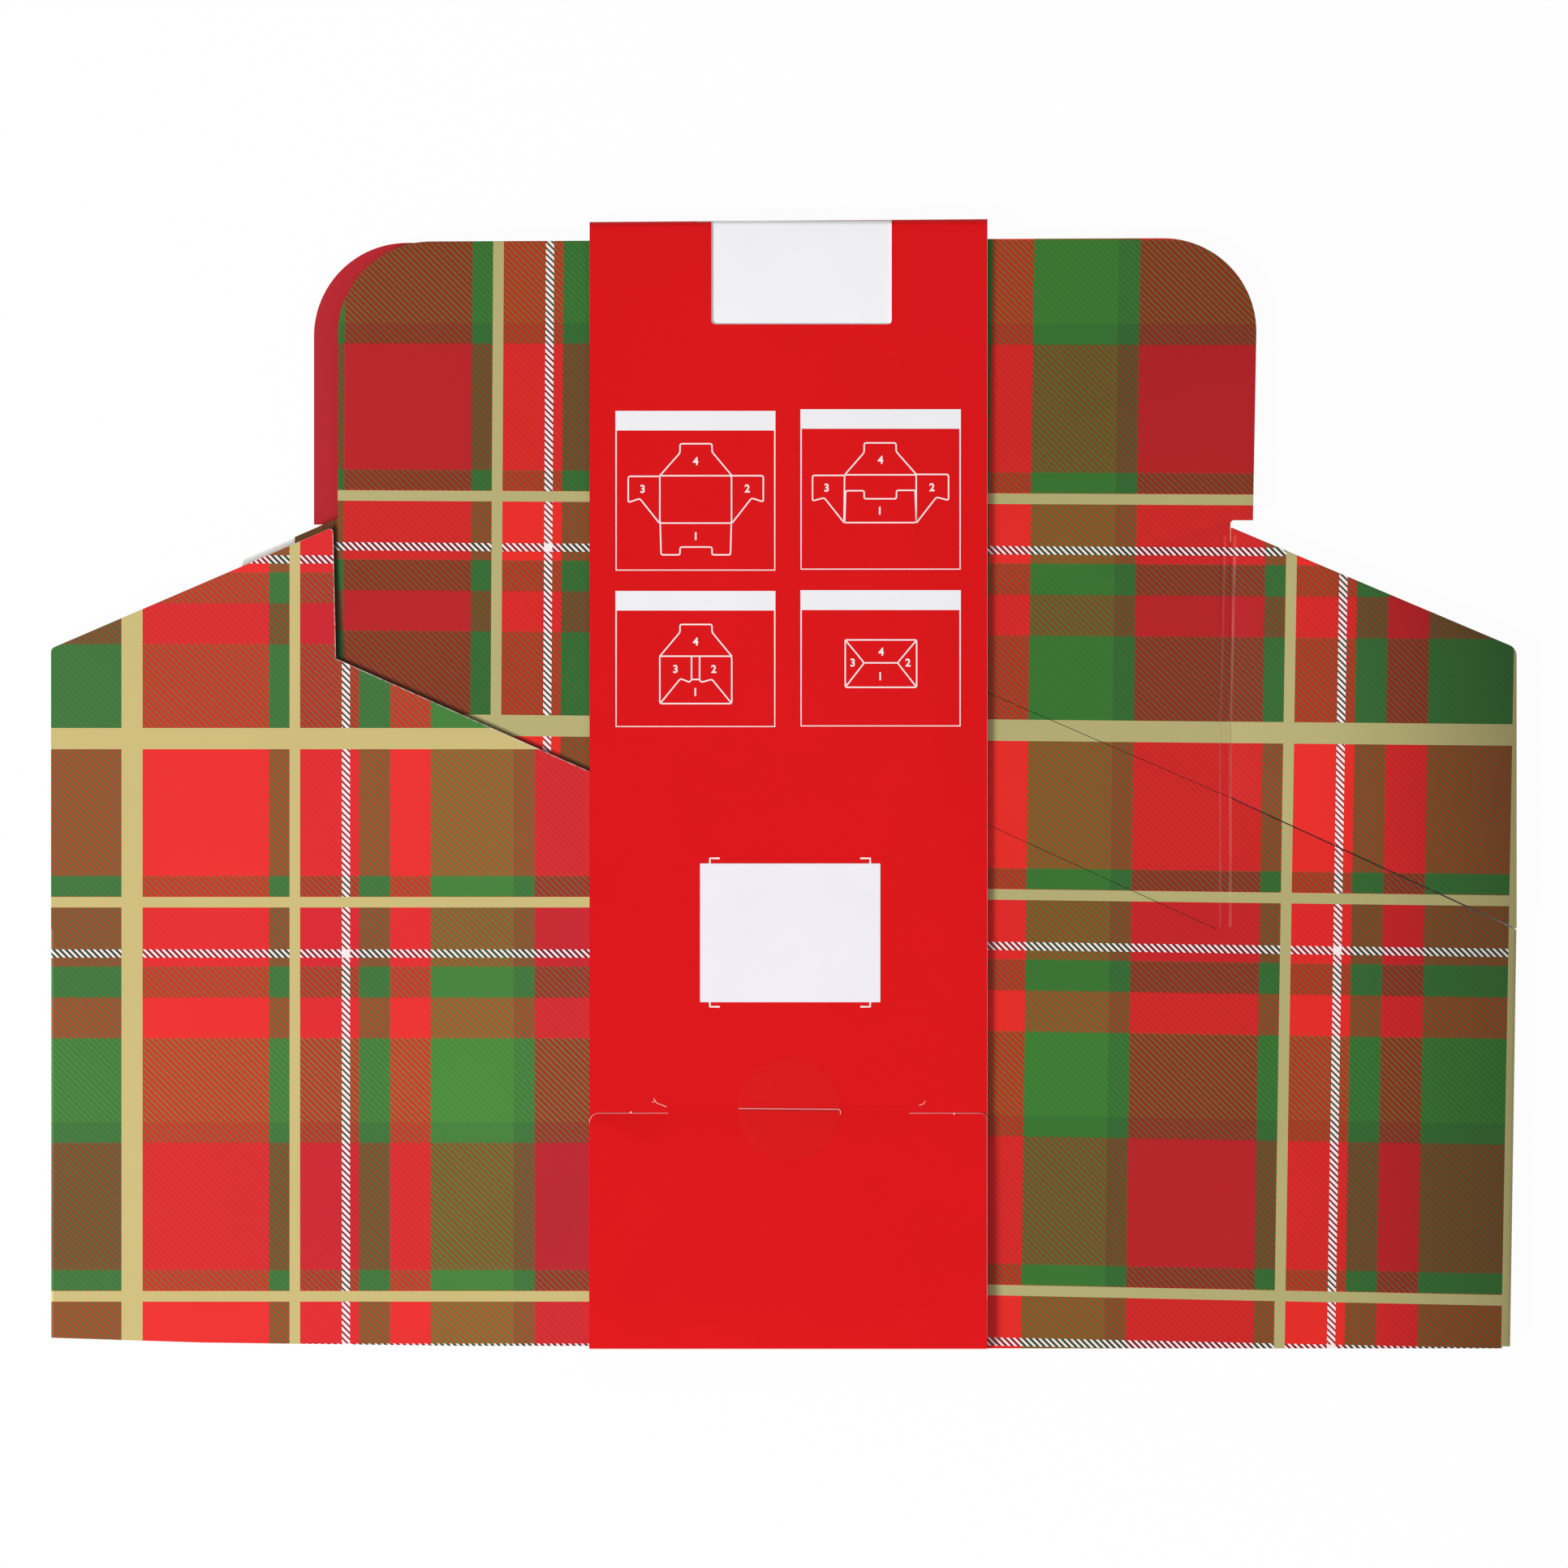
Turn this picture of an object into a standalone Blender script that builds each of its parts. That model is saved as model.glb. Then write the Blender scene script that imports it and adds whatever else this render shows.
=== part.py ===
"""Flat-packed six-bottle gift carrier of printed board, held flat by a card sleeve.

Units are metres. The carrier lies on its back: X runs across it, Y runs up to its handle,
and Z is up, towards the viewer. The origin is the bottom centre of the whole object.
"""

import math

import bmesh
import bpy
from mathutils import Vector

# Bottles and their cells
BOTTLE_DIAMETER = 0.061
CELL_LENGTH_CLEARANCE = 0.005
CELL_DEPTH_CLEARANCE = 0.0025
CELLS_LONG = 3
CELLS_DEEP = 2

# Carrier, as measured on the erected box
CARRIER_WIDTH = CELLS_LONG * (BOTTLE_DIAMETER + CELL_LENGTH_CLEARANCE)
CARRIER_DEPTH = CELLS_DEEP * (BOTTLE_DIAMETER + CELL_DEPTH_CLEARANCE)
HANDLE_HEIGHT = 0.244
SHOULDER_PEAK_HEIGHT = 0.1808
SHOULDER_CORNER_HEIGHT = 0.1535
SLOPE_TOP_HEIGHT = 0.1508
LOW_WALL_HEIGHT = 0.0909
HANDLE_CORNER_RADIUS = 0.0207
HANDLE_LIP_WIDTH = 0.0054
HANDLE_LIP_CLEARANCE = 0.0010
HANDLE_LAP_WIDTH = 0.0095
HANDLE_LAP_RISE = 0.0009
GLUE_FLAP_WIDTH = 0.018
GLUE_FLAP_TAPER = 0.006
SOFT_CORNER_RADIUS = 0.0016

# Base flaps and cell dividers, folded away inside
BASE_FLAP_LENGTH = 0.083
BASE_TONGUE_WIDTH = 0.086
BASE_TONGUE_LENGTH = 0.020
BASE_NOTCH_DEPTH = 0.021
END_FLAP_HOOK_WIDTH = 0.048
END_FLAP_HOOK_DEPTH = 0.010
DIVIDER_HEIGHT = 0.052
DIVIDER_CLEARANCE = 0.0079

# Card sleeve
SLEEVE_WIDTH = 0.0882
SLEEVE_BOTTOM_CLEARANCE = 0.0022
SLEEVE_TOP_CLEARANCE = 0.0044
SLEEVE_LENGTH = SLEEVE_BOTTOM_CLEARANCE + HANDLE_HEIGHT + SLEEVE_TOP_CLEARANCE
SLEEVE_OFFSET = 0.0010
SLEEVE_FOLD_RADIUS = 0.0015
SLEEVE_FOLD_REACH = 0.0022
TUCK_FLAP_LENGTH = 0.0522
TUCK_FLAP_INSET = 0.0010
TUCK_FLAP_CORNER_RADIUS = 0.0022
TUCK_STEP_HEIGHT = 0.0011
TUCK_STEP_WIDTH = 0.054
SLIT_WIDTH = 0.0006
SLIT_LENGTH = 0.0216
WINDOW_WIDTH = 0.0396
WINDOW_HEIGHT = 0.0234
WINDOW_OFFSET = 0.0026
WINDOW_CORNER_RADIUS = 0.0009
WINDOW_CARD_MARGIN = 0.003
STICKER_WIDTH = 0.0400
STICKER_HEIGHT = 0.0308
STICKER_HEIGHT_UP = 0.0769
SEAL_RADIUS = 0.0117
SEAL_OFFSET = -0.0012

# Thicknesses and clearances
BOARD = 0.0005
SLEEVE_CARD = 0.00035
WINDOW_CARD = 0.0002
STICKER_FILM = 0.0001
GAP = 0.0003
CREASE_HALF_GAP = 0.00015
ARC_STEPS = 8
SEAL_SIDES = 48

# Places across the flat pack, from left to right
FLAT_WIDTH = CARRIER_WIDTH + CARRIER_DEPTH
HALF_DEPTH = CARRIER_DEPTH / 2
LEFT_FOLD_X = -FLAT_WIDTH / 2
RIGHT_FOLD_X = FLAT_WIDTH / 2
FRONT_CORNER_X = LEFT_FOLD_X + CARRIER_WIDTH
LEFT_CREASE_X = LEFT_FOLD_X + HALF_DEPTH
RIGHT_CREASE_X = RIGHT_FOLD_X - HALF_DEPTH
SLOPE = (SLOPE_TOP_HEIGHT - LOW_WALL_HEIGHT) / (CARRIER_WIDTH - HALF_DEPTH)

# Levels of the stack, from the table up
PITCH = BOARD + GAP
BACK_WALL_Z = SLEEVE_CARD + GAP
REAR_SHEET_Z = BACK_WALL_Z + PITCH
LOWER_INNER_Z = REAR_SHEET_Z + PITCH
UPPER_INNER_Z = LOWER_INNER_Z + PITCH
FRONT_SHEET_Z = UPPER_INNER_Z + PITCH
FRONT_WALL_Z = FRONT_SHEET_Z + PITCH
SLEEVE_FRONT_Z = FRONT_WALL_Z + PITCH
STICKER_Z = SLEEVE_FRONT_Z + SLEEVE_CARD + GAP
TUCK_FLAP_Z = SLEEVE_FRONT_Z + SLEEVE_CARD + GAP
SEAL_Z = TUCK_FLAP_Z + SLEEVE_CARD + GAP
STACK_MIDDLE_Z = (BACK_WALL_Z + FRONT_WALL_Z + BOARD) / 2

# Places up the flat pack
SLEEVE_BOTTOM_Y = -SLEEVE_LENGTH / 2
SLEEVE_TOP_Y = SLEEVE_LENGTH / 2
BASE_Y = SLEEVE_BOTTOM_Y + SLEEVE_BOTTOM_CLEARANCE

# Colours, roughness and metallic value
TARTAN_RED = ((0.42, 0.045, 0.045, 1.0), 0.45, 0.0)
PLAIN_CRIMSON = ((0.45, 0.02, 0.05, 1.0), 0.5, 0.0)
GREY_BOARD = ((0.62, 0.60, 0.55, 1.0), 0.85, 0.0)
SLEEVE_RED = ((0.68, 0.008, 0.012, 1.0), 0.4, 0.0)
WHITE_CARD = ((0.86, 0.86, 0.87, 1.0), 0.6, 0.0)
LABEL_WHITE = ((0.88, 0.88, 0.88, 1.0), 0.5, 0.0)
SEAL_CLEAR = ((0.80, 0.06, 0.06, 1.0), 0.15, 0.0)


def clear_scene():
    """Remove every object, so that a second run starts clean."""
    for item in list(bpy.data.objects):
        bpy.data.objects.remove(item, do_unlink=True)


def new_collection(name):
    """Make a collection under the scene's own."""
    collection = bpy.data.collections.new(name)
    bpy.context.scene.collection.children.link(collection)
    return collection


def finish_material(name, finish):
    """A Principled material with a colour, a roughness and a metallic value."""
    colour, roughness, metallic = finish
    material = bpy.data.materials.new(name)
    material.use_nodes = True
    shader = material.node_tree.nodes["Principled BSDF"]
    shader.inputs["Base Color"].default_value = colour
    shader.inputs["Roughness"].default_value = roughness
    shader.inputs["Metallic"].default_value = metallic
    material.diffuse_color = colour
    return material


def rounded(corners):
    """Turn corners (x, y, radius) into an outline whose corners are arcs."""
    outline = []
    count = len(corners)
    for index, (x, y, radius) in enumerate(corners):
        here = Vector((x, y))
        if radius <= 0.0:
            outline.append(here)
            continue
        before = (Vector(corners[index - 1][:2]) - here).normalized()
        after = (Vector(corners[(index + 1) % count][:2]) - here).normalized()
        half_angle = before.angle(after) / 2
        along = radius / math.tan(half_angle)
        centre = here + (before + after).normalized() * (radius / math.sin(half_angle))
        start = here + before * along - centre
        end = here + after * along - centre
        sweep = start.angle_signed(end)
        for step in range(ARC_STEPS + 1):
            angle = -sweep * step / ARC_STEPS
            turned = Vector((start.x * math.cos(angle) - start.y * math.sin(angle),
                             start.x * math.sin(angle) + start.y * math.cos(angle)))
            outline.append(centre + turned)
    return outline


def plate(name, corners, bottom, thickness, origin=(0.0, 0.0, 0.0)):
    """A flat sheet lying at a level: its outline is filled and extruded, then welded."""
    curve = bpy.data.curves.new(name, "CURVE")
    curve.dimensions = "2D"
    curve.fill_mode = "BOTH"
    curve.extrude = thickness / 2
    outline = rounded(corners)
    spline = curve.splines.new("POLY")
    spline.points.add(len(outline) - 1)
    for point, spot in zip(spline.points, outline):
        point.co = (spot.x, spot.y, 0.0, 1.0)
    spline.use_cyclic_u = True
    holder = bpy.data.objects.new(name + "_outline", curve)
    bpy.context.scene.collection.objects.link(holder)
    depsgraph = bpy.context.evaluated_depsgraph_get()
    mesh = bpy.data.meshes.new_from_object(holder.evaluated_get(depsgraph))
    bpy.data.objects.remove(holder, do_unlink=True)
    place = Vector((0.0, 0.0, bottom + thickness / 2)) - Vector(origin)
    shape = bmesh.new()
    shape.from_mesh(mesh)
    bmesh.ops.remove_doubles(shape, verts=shape.verts, dist=1e-6)
    bmesh.ops.recalc_face_normals(shape, faces=shape.faces)
    bmesh.ops.translate(shape, verts=shape.verts, vec=place)
    shape.to_mesh(mesh)
    shape.free()
    mesh.name = name
    item = bpy.data.objects.new(name, mesh)
    item.location = origin
    return item


def turn_over(item):
    """Turn a sheet about the upright centre line, so that front becomes back."""
    shape = bmesh.new()
    shape.from_mesh(item.data)
    for vertex in shape.verts:
        vertex.co.x = -vertex.co.x
        vertex.co.z = 2 * STACK_MIDDLE_Z - vertex.co.z
    shape.to_mesh(item.data)
    shape.free()
    return item


def fold_strip(name, profile, origin):
    """A folded strip of the sleeve: a profile in Y and Z, extruded across its width."""
    item = plate(name, profile, 0.0, SLEEVE_WIDTH)
    shape = bmesh.new()
    shape.from_mesh(item.data)
    for vertex in shape.verts:
        y, z, x = vertex.co
        vertex.co = Vector((x - SLEEVE_WIDTH / 2 + SLEEVE_OFFSET, y, z)) - Vector(origin)
    shape.to_mesh(item.data)
    shape.free()
    item.location = origin
    return item


def cut(item, cutter, cutters):
    """Cut one solid out of another, and keep the cutter out of the model."""
    cutters.objects.link(cutter)
    cutter.hide_render = True
    cutter.display_type = "WIRE"
    boolean = item.modifiers.new(cutter.name, "BOOLEAN")
    boolean.operation = "DIFFERENCE"
    boolean.solver = "EXACT"
    boolean.object = cutter


def up(height):
    """The Y of a height above the carrier's bottom edge."""
    return BASE_Y + height


def slope_height(x, end_x):
    """Height of a sloping cut that reaches the low wall height at end_x."""
    return LOW_WALL_HEIGHT + SLOPE * (end_x - x)


def front_wall_corners():
    """The wall that lies on top: a shoulder at its left, then a slope to its right corner."""
    return [
        (LEFT_FOLD_X, up(0.0), 0.0),
        (FRONT_CORNER_X, up(0.0), 0.0),
        (FRONT_CORNER_X, up(LOW_WALL_HEIGHT), 0.0),
        (LEFT_CREASE_X, up(SLOPE_TOP_HEIGHT), 0.0),
        (LEFT_CREASE_X, up(SHOULDER_PEAK_HEIGHT), SOFT_CORNER_RADIUS),
        (LEFT_FOLD_X, up(SHOULDER_CORNER_HEIGHT), SOFT_CORNER_RADIUS),
    ]


def handle_panel_corners():
    """Handle and centre wall in one: big round corners, a lip at the right, a lap at the left."""
    inner_x = LEFT_CREASE_X + HALF_DEPTH - CREASE_HALF_GAP
    step_x = LEFT_CREASE_X + CARRIER_DEPTH - CREASE_HALF_GAP
    edge_x = RIGHT_CREASE_X - CREASE_HALF_GAP
    lap_x = LEFT_CREASE_X - HANDLE_LAP_WIDTH
    shoulder_slope = (SHOULDER_PEAK_HEIGHT - SHOULDER_CORNER_HEIGHT) / HALF_DEPTH
    lap_height = SHOULDER_PEAK_HEIGHT + HANDLE_LAP_RISE - HANDLE_LAP_WIDTH * shoulder_slope
    lip_height = SHOULDER_PEAK_HEIGHT + HANDLE_LIP_CLEARANCE
    return [
        (lap_x, up(LOW_WALL_HEIGHT), 0.0),
        (inner_x, up(LOW_WALL_HEIGHT), 0.0),
        (inner_x, up(SLOPE_TOP_HEIGHT + GAP), 0.0),
        (step_x, up(SLOPE_TOP_HEIGHT + GAP), 0.0),
        (edge_x, up(slope_height(edge_x, RIGHT_FOLD_X) + GAP), 0.0),
        (edge_x, up(lip_height), 0.0),
        (RIGHT_CREASE_X + HANDLE_LIP_WIDTH, up(lip_height), SOFT_CORNER_RADIUS),
        (RIGHT_CREASE_X + HANDLE_LIP_WIDTH, up(HANDLE_HEIGHT), HANDLE_CORNER_RADIUS),
        (LEFT_CREASE_X, up(HANDLE_HEIGHT), HANDLE_CORNER_RADIUS),
        (LEFT_CREASE_X, up(SHOULDER_PEAK_HEIGHT + HANDLE_LAP_RISE), 0.0),
        (lap_x, up(lap_height), 0.0),
    ]


def strap_corners():
    """The band between the two sloping cuts, half the carrier's depth across."""
    bottom = LOW_WALL_HEIGHT + GAP
    left_x = RIGHT_CREASE_X - (SLOPE_TOP_HEIGHT - bottom) / SLOPE
    step_x = LEFT_CREASE_X + CARRIER_DEPTH
    return [
        (left_x, up(SLOPE_TOP_HEIGHT), 0.0),
        (RIGHT_CREASE_X, up(bottom), 0.0),
        (RIGHT_FOLD_X, up(bottom), 0.0),
        (step_x, up(SLOPE_TOP_HEIGHT), 0.0),
    ]


def shoulder_corners():
    """The shoulder beside the handle, which swings on the crease at its left."""
    crease_x = RIGHT_CREASE_X + CREASE_HALF_GAP
    return [
        (crease_x, up(slope_height(crease_x, RIGHT_FOLD_X) + 2 * GAP), 0.0),
        (RIGHT_FOLD_X, up(LOW_WALL_HEIGHT + 2 * GAP), 0.0),
        (RIGHT_FOLD_X, up(SHOULDER_CORNER_HEIGHT), SOFT_CORNER_RADIUS),
        (crease_x, up(SHOULDER_PEAK_HEIGHT), SOFT_CORNER_RADIUS),
    ]


def end_wall_corners():
    """The low end wall, whose top follows the lower sloping cut up to the front corner."""
    left_x = FRONT_CORNER_X
    return [
        (left_x, up(0.0), 0.0),
        (RIGHT_FOLD_X, up(0.0), 0.0),
        (RIGHT_FOLD_X, up(LOW_WALL_HEIGHT), 0.0),
        (RIGHT_CREASE_X, up(LOW_WALL_HEIGHT), 0.0),
        (left_x, up(slope_height(left_x, RIGHT_CREASE_X)), 0.0),
    ]


def glue_flap_corners():
    """The narrow flap on the end wall that is glued behind the front wall."""
    right_x = FRONT_CORNER_X - GAP
    left_x = right_x - GLUE_FLAP_WIDTH
    return [
        (left_x, up(GLUE_FLAP_TAPER), SOFT_CORNER_RADIUS),
        (right_x, up(GAP), 0.0),
        (right_x, up(LOW_WALL_HEIGHT - GAP), 0.0),
        (left_x, up(LOW_WALL_HEIGHT - GLUE_FLAP_TAPER), SOFT_CORNER_RADIUS),
    ]


def tongue_flap_corners(left_x):
    """Base flap with tapered sides and a locking tongue, folded up inside a long wall."""
    middle_x = left_x + CARRIER_WIDTH / 2
    right_x = left_x + CARRIER_WIDTH
    shoulder = up(BASE_FLAP_LENGTH - BASE_TONGUE_LENGTH)
    tongue = up(BASE_FLAP_LENGTH)
    half = BASE_TONGUE_WIDTH / 2
    return [
        (left_x + GAP, up(GAP), 0.0),
        (right_x - GAP, up(GAP), 0.0),
        (middle_x + half, shoulder, 0.0),
        (middle_x + half, tongue, SOFT_CORNER_RADIUS),
        (middle_x - half, tongue, SOFT_CORNER_RADIUS),
        (middle_x - half, shoulder, 0.0),
    ]


def notched_flap_corners(left_x):
    """Base flap with a notch that takes the tongue, folded up inside a long wall."""
    middle_x = left_x + CARRIER_WIDTH / 2
    right_x = left_x + CARRIER_WIDTH
    half = BASE_TONGUE_WIDTH / 2 + GAP
    edge = up(BASE_FLAP_LENGTH)
    notch = up(BASE_FLAP_LENGTH - BASE_NOTCH_DEPTH)
    return [
        (left_x + GAP, up(GAP), 0.0),
        (right_x - GAP, up(GAP), 0.0),
        (right_x - GAP, edge, SOFT_CORNER_RADIUS),
        (middle_x + half, edge, SOFT_CORNER_RADIUS),
        (middle_x + half, notch, 0.0),
        (middle_x - half, notch, 0.0),
        (middle_x - half, edge, SOFT_CORNER_RADIUS),
        (left_x + GAP, edge, SOFT_CORNER_RADIUS),
    ]


def hooked_flap_corners(left_x):
    """Base flap with one straight side and one slanted side that ends in a hook."""
    right_x = left_x + CARRIER_DEPTH
    edge = up(BASE_FLAP_LENGTH)
    hook_x = left_x + END_FLAP_HOOK_WIDTH
    return [
        (left_x + GAP, up(GAP), 0.0),
        (right_x - GAP, up(GAP), 0.0),
        (right_x - GAP, edge, SOFT_CORNER_RADIUS),
        (hook_x - END_FLAP_HOOK_DEPTH / 2, edge, SOFT_CORNER_RADIUS),
        (hook_x, edge - END_FLAP_HOOK_DEPTH, 0.0),
    ]


def divider_corners(index):
    """A cell divider lying flat between the front wall and the centre wall."""
    left_x = LEFT_FOLD_X + CARRIER_WIDTH * (index + 1) / CELLS_LONG
    bottom = up(BASE_FLAP_LENGTH + DIVIDER_CLEARANCE)
    return [
        (left_x + GAP, bottom, 0.0),
        (left_x + HALF_DEPTH - GAP, bottom, 0.0),
        (left_x + HALF_DEPTH - GAP, bottom + DIVIDER_HEIGHT, 0.0),
        (left_x + GAP, bottom + DIVIDER_HEIGHT, 0.0),
    ]


def carrier_sheets():
    """Name, outline, level, finish and whether it is turned over, for each fixed sheet."""
    back_left_x = -FRONT_CORNER_X
    sheets = [
        ("front_wall", front_wall_corners(), FRONT_WALL_Z, TARTAN_RED, False),
        ("handle_panel_front", handle_panel_corners(), FRONT_SHEET_Z, TARTAN_RED, False),
        ("centre_strap_front", strap_corners(), FRONT_SHEET_Z, TARTAN_RED, False),
        ("right_end_wall", end_wall_corners(), FRONT_SHEET_Z, TARTAN_RED, False),
        ("glue_flap_front", glue_flap_corners(), FRONT_SHEET_Z, GREY_BOARD, False),
        ("base_flap_front", tongue_flap_corners(LEFT_FOLD_X), UPPER_INNER_Z, GREY_BOARD, False),
        ("base_flap_right", hooked_flap_corners(FRONT_CORNER_X), UPPER_INNER_Z, GREY_BOARD, False),
        ("base_flap_back", notched_flap_corners(back_left_x), LOWER_INNER_Z, GREY_BOARD, False),
        ("base_flap_left", hooked_flap_corners(FRONT_CORNER_X), UPPER_INNER_Z, GREY_BOARD, True),
        ("back_wall", front_wall_corners(), FRONT_WALL_Z, TARTAN_RED, True),
        ("handle_panel_rear", handle_panel_corners(), FRONT_SHEET_Z, PLAIN_CRIMSON, True),
        ("centre_strap_rear", strap_corners(), FRONT_SHEET_Z, GREY_BOARD, True),
        ("left_end_wall", end_wall_corners(), FRONT_SHEET_Z, TARTAN_RED, True),
        ("left_shoulder_panel", shoulder_corners(), FRONT_SHEET_Z, GREY_BOARD, True),
        ("glue_flap_rear", glue_flap_corners(), FRONT_SHEET_Z, GREY_BOARD, True),
    ]
    for index in range(CELLS_LONG - 1):
        corners = divider_corners(index)
        sheets.append((f"cell_divider_front_{index + 1}", corners, UPPER_INNER_Z, GREY_BOARD, False))
        sheets.append((f"cell_divider_rear_{index + 1}", corners, UPPER_INNER_Z, GREY_BOARD, True))
    return sheets


def build_carrier(parts):
    """All the carrier's sheets; the right shoulder has its origin on its crease."""
    for name, corners, level, finish, turned in carrier_sheets():
        item = plate(name, corners, level, BOARD)
        if turned:
            turn_over(item)
        item.data.materials.append(finish_material(name, finish))
        parts.objects.link(item)
    crease = (RIGHT_CREASE_X, up(SLOPE_TOP_HEIGHT), FRONT_SHEET_Z + BOARD)
    shoulder = plate("right_shoulder_panel", shoulder_corners(), FRONT_SHEET_Z, BOARD, crease)
    shoulder.data.materials.append(finish_material("right_shoulder_panel", TARTAN_RED))
    parts.objects.link(shoulder)


def sleeve_panel(name, left_x, right_x, bottom_y, top_y, level, thickness, radius=0.0):
    """A rectangular sheet of the sleeve."""
    corners = [(left_x, bottom_y, radius), (right_x, bottom_y, radius),
               (right_x, top_y, radius), (left_x, top_y, radius)]
    return plate(name, corners, level, thickness)


def top_fold_profile():
    """Profile of the top fold in Y and Z: over the top, from the back to the front panel."""
    outer = SLEEVE_FOLD_RADIUS
    inner = SLEEVE_FOLD_RADIUS - SLEEVE_CARD
    start_y = SLEEVE_TOP_Y - SLEEVE_FOLD_REACH
    high_z = SLEEVE_FRONT_Z + SLEEVE_CARD
    return [
        (start_y, 0.0, 0.0),
        (SLEEVE_TOP_Y, 0.0, outer),
        (SLEEVE_TOP_Y, high_z, outer),
        (start_y, high_z, 0.0),
        (start_y, SLEEVE_FRONT_Z, 0.0),
        (SLEEVE_TOP_Y - SLEEVE_CARD, SLEEVE_FRONT_Z, inner),
        (SLEEVE_TOP_Y - SLEEVE_CARD, SLEEVE_CARD, inner),
        (start_y, SLEEVE_CARD, 0.0),
    ]


def bottom_fold_profile():
    """Profile of the bottom fold: from the back panel up to the tuck flap's crease."""
    outer = SLEEVE_FOLD_RADIUS
    inner = SLEEVE_FOLD_RADIUS - SLEEVE_CARD
    start_y = SLEEVE_BOTTOM_Y + SLEEVE_FOLD_REACH
    high_z = TUCK_FLAP_Z - GAP
    return [
        (start_y, 0.0, 0.0),
        (start_y, SLEEVE_CARD, 0.0),
        (SLEEVE_BOTTOM_Y + SLEEVE_CARD, SLEEVE_CARD, inner),
        (SLEEVE_BOTTOM_Y + SLEEVE_CARD, high_z, 0.0),
        (SLEEVE_BOTTOM_Y, high_z, 0.0),
        (SLEEVE_BOTTOM_Y, 0.0, outer),
    ]


def tuck_flap_corners():
    """The tuck flap: round shoulders, and a slightly longer middle that meets the slit."""
    half = SLEEVE_WIDTH / 2 - TUCK_FLAP_INSET
    left_x = SLEEVE_OFFSET - half
    right_x = SLEEVE_OFFSET + half
    top_y = SLEEVE_BOTTOM_Y + TUCK_FLAP_LENGTH
    step_left = SLEEVE_OFFSET - TUCK_STEP_WIDTH / 2
    step_right = SLEEVE_OFFSET + TUCK_STEP_WIDTH / 2
    round_radius = TUCK_FLAP_CORNER_RADIUS
    return [
        (left_x, SLEEVE_BOTTOM_Y, 0.0),
        (right_x, SLEEVE_BOTTOM_Y, 0.0),
        (right_x, top_y, round_radius),
        (step_right, top_y, 0.0),
        (step_right, top_y + TUCK_STEP_HEIGHT, 0.0),
        (step_left, top_y + TUCK_STEP_HEIGHT, 0.0),
        (step_left, top_y, 0.0),
        (left_x, top_y, round_radius),
    ]


def build_sleeve(parts, cutters):
    """The sleeve's panels and folds hang on one empty, and the tuck flap on its own crease."""
    guide = bpy.data.objects.new("sleeve_guide", None)
    guide.location = (SLEEVE_OFFSET, 0.0, STACK_MIDDLE_Z)
    bpy.context.scene.collection.objects.link(guide)
    left_x = SLEEVE_OFFSET - SLEEVE_WIDTH / 2
    right_x = SLEEVE_OFFSET + SLEEVE_WIDTH / 2
    low_y = SLEEVE_BOTTOM_Y + SLEEVE_FOLD_REACH + GAP
    high_y = SLEEVE_TOP_Y - SLEEVE_FOLD_REACH - GAP
    window_x = SLEEVE_OFFSET + WINDOW_OFFSET
    window_y = SLEEVE_TOP_Y - WINDOW_HEIGHT
    slit_y = SLEEVE_BOTTOM_Y + TUCK_FLAP_LENGTH + TUCK_STEP_HEIGHT + SLIT_WIDTH

    back = sleeve_panel("sleeve_back", left_x, right_x, low_y, high_y, 0.0, SLEEVE_CARD)
    front = sleeve_panel("sleeve_front", left_x, right_x, low_y, high_y, SLEEVE_FRONT_Z, SLEEVE_CARD)
    window = sleeve_panel("window_cutter", window_x - WINDOW_WIDTH / 2, window_x + WINDOW_WIDTH / 2,
                          window_y, SLEEVE_TOP_Y + GAP, SLEEVE_FRONT_Z - GAP,
                          SLEEVE_CARD + 2 * GAP, WINDOW_CORNER_RADIUS)
    cut(front, window, cutters)
    slit_x = SLEEVE_OFFSET + SEAL_OFFSET
    slit = sleeve_panel("slit_cutter", slit_x - SLIT_LENGTH / 2, slit_x + SLIT_LENGTH / 2,
                        slit_y, slit_y + SLIT_WIDTH, SLEEVE_FRONT_Z - GAP, SLEEVE_CARD + 2 * GAP)
    cut(front, slit, cutters)
    card_z = SLEEVE_FRONT_Z - GAP - WINDOW_CARD
    card = sleeve_panel("window_card", window_x - WINDOW_WIDTH / 2 - WINDOW_CARD_MARGIN,
                        window_x + WINDOW_WIDTH / 2 + WINDOW_CARD_MARGIN,
                        window_y - WINDOW_CARD_MARGIN, high_y, card_z, WINDOW_CARD)
    sticker_y = BASE_Y + STICKER_HEIGHT_UP
    sticker = sleeve_panel("label_sticker", SLEEVE_OFFSET - STICKER_WIDTH / 2,
                           SLEEVE_OFFSET + STICKER_WIDTH / 2, sticker_y,
                           sticker_y + STICKER_HEIGHT, STICKER_Z, STICKER_FILM)
    top_fold = fold_strip("sleeve_top_fold", top_fold_profile(), (0.0, 0.0, 0.0))
    bottom_fold = fold_strip("sleeve_bottom_fold", bottom_fold_profile(), (0.0, 0.0, 0.0))
    finishes = ((back, SLEEVE_RED), (front, SLEEVE_RED), (card, WHITE_CARD),
                (sticker, LABEL_WHITE), (top_fold, SLEEVE_RED), (bottom_fold, SLEEVE_RED))
    for item, finish in finishes:
        item.data.materials.append(finish_material(item.name, finish))
        item.parent = guide
        item.location = Vector(item.location) - Vector(guide.location)
        parts.objects.link(item)
    build_tuck_flap(parts, guide)


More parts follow.
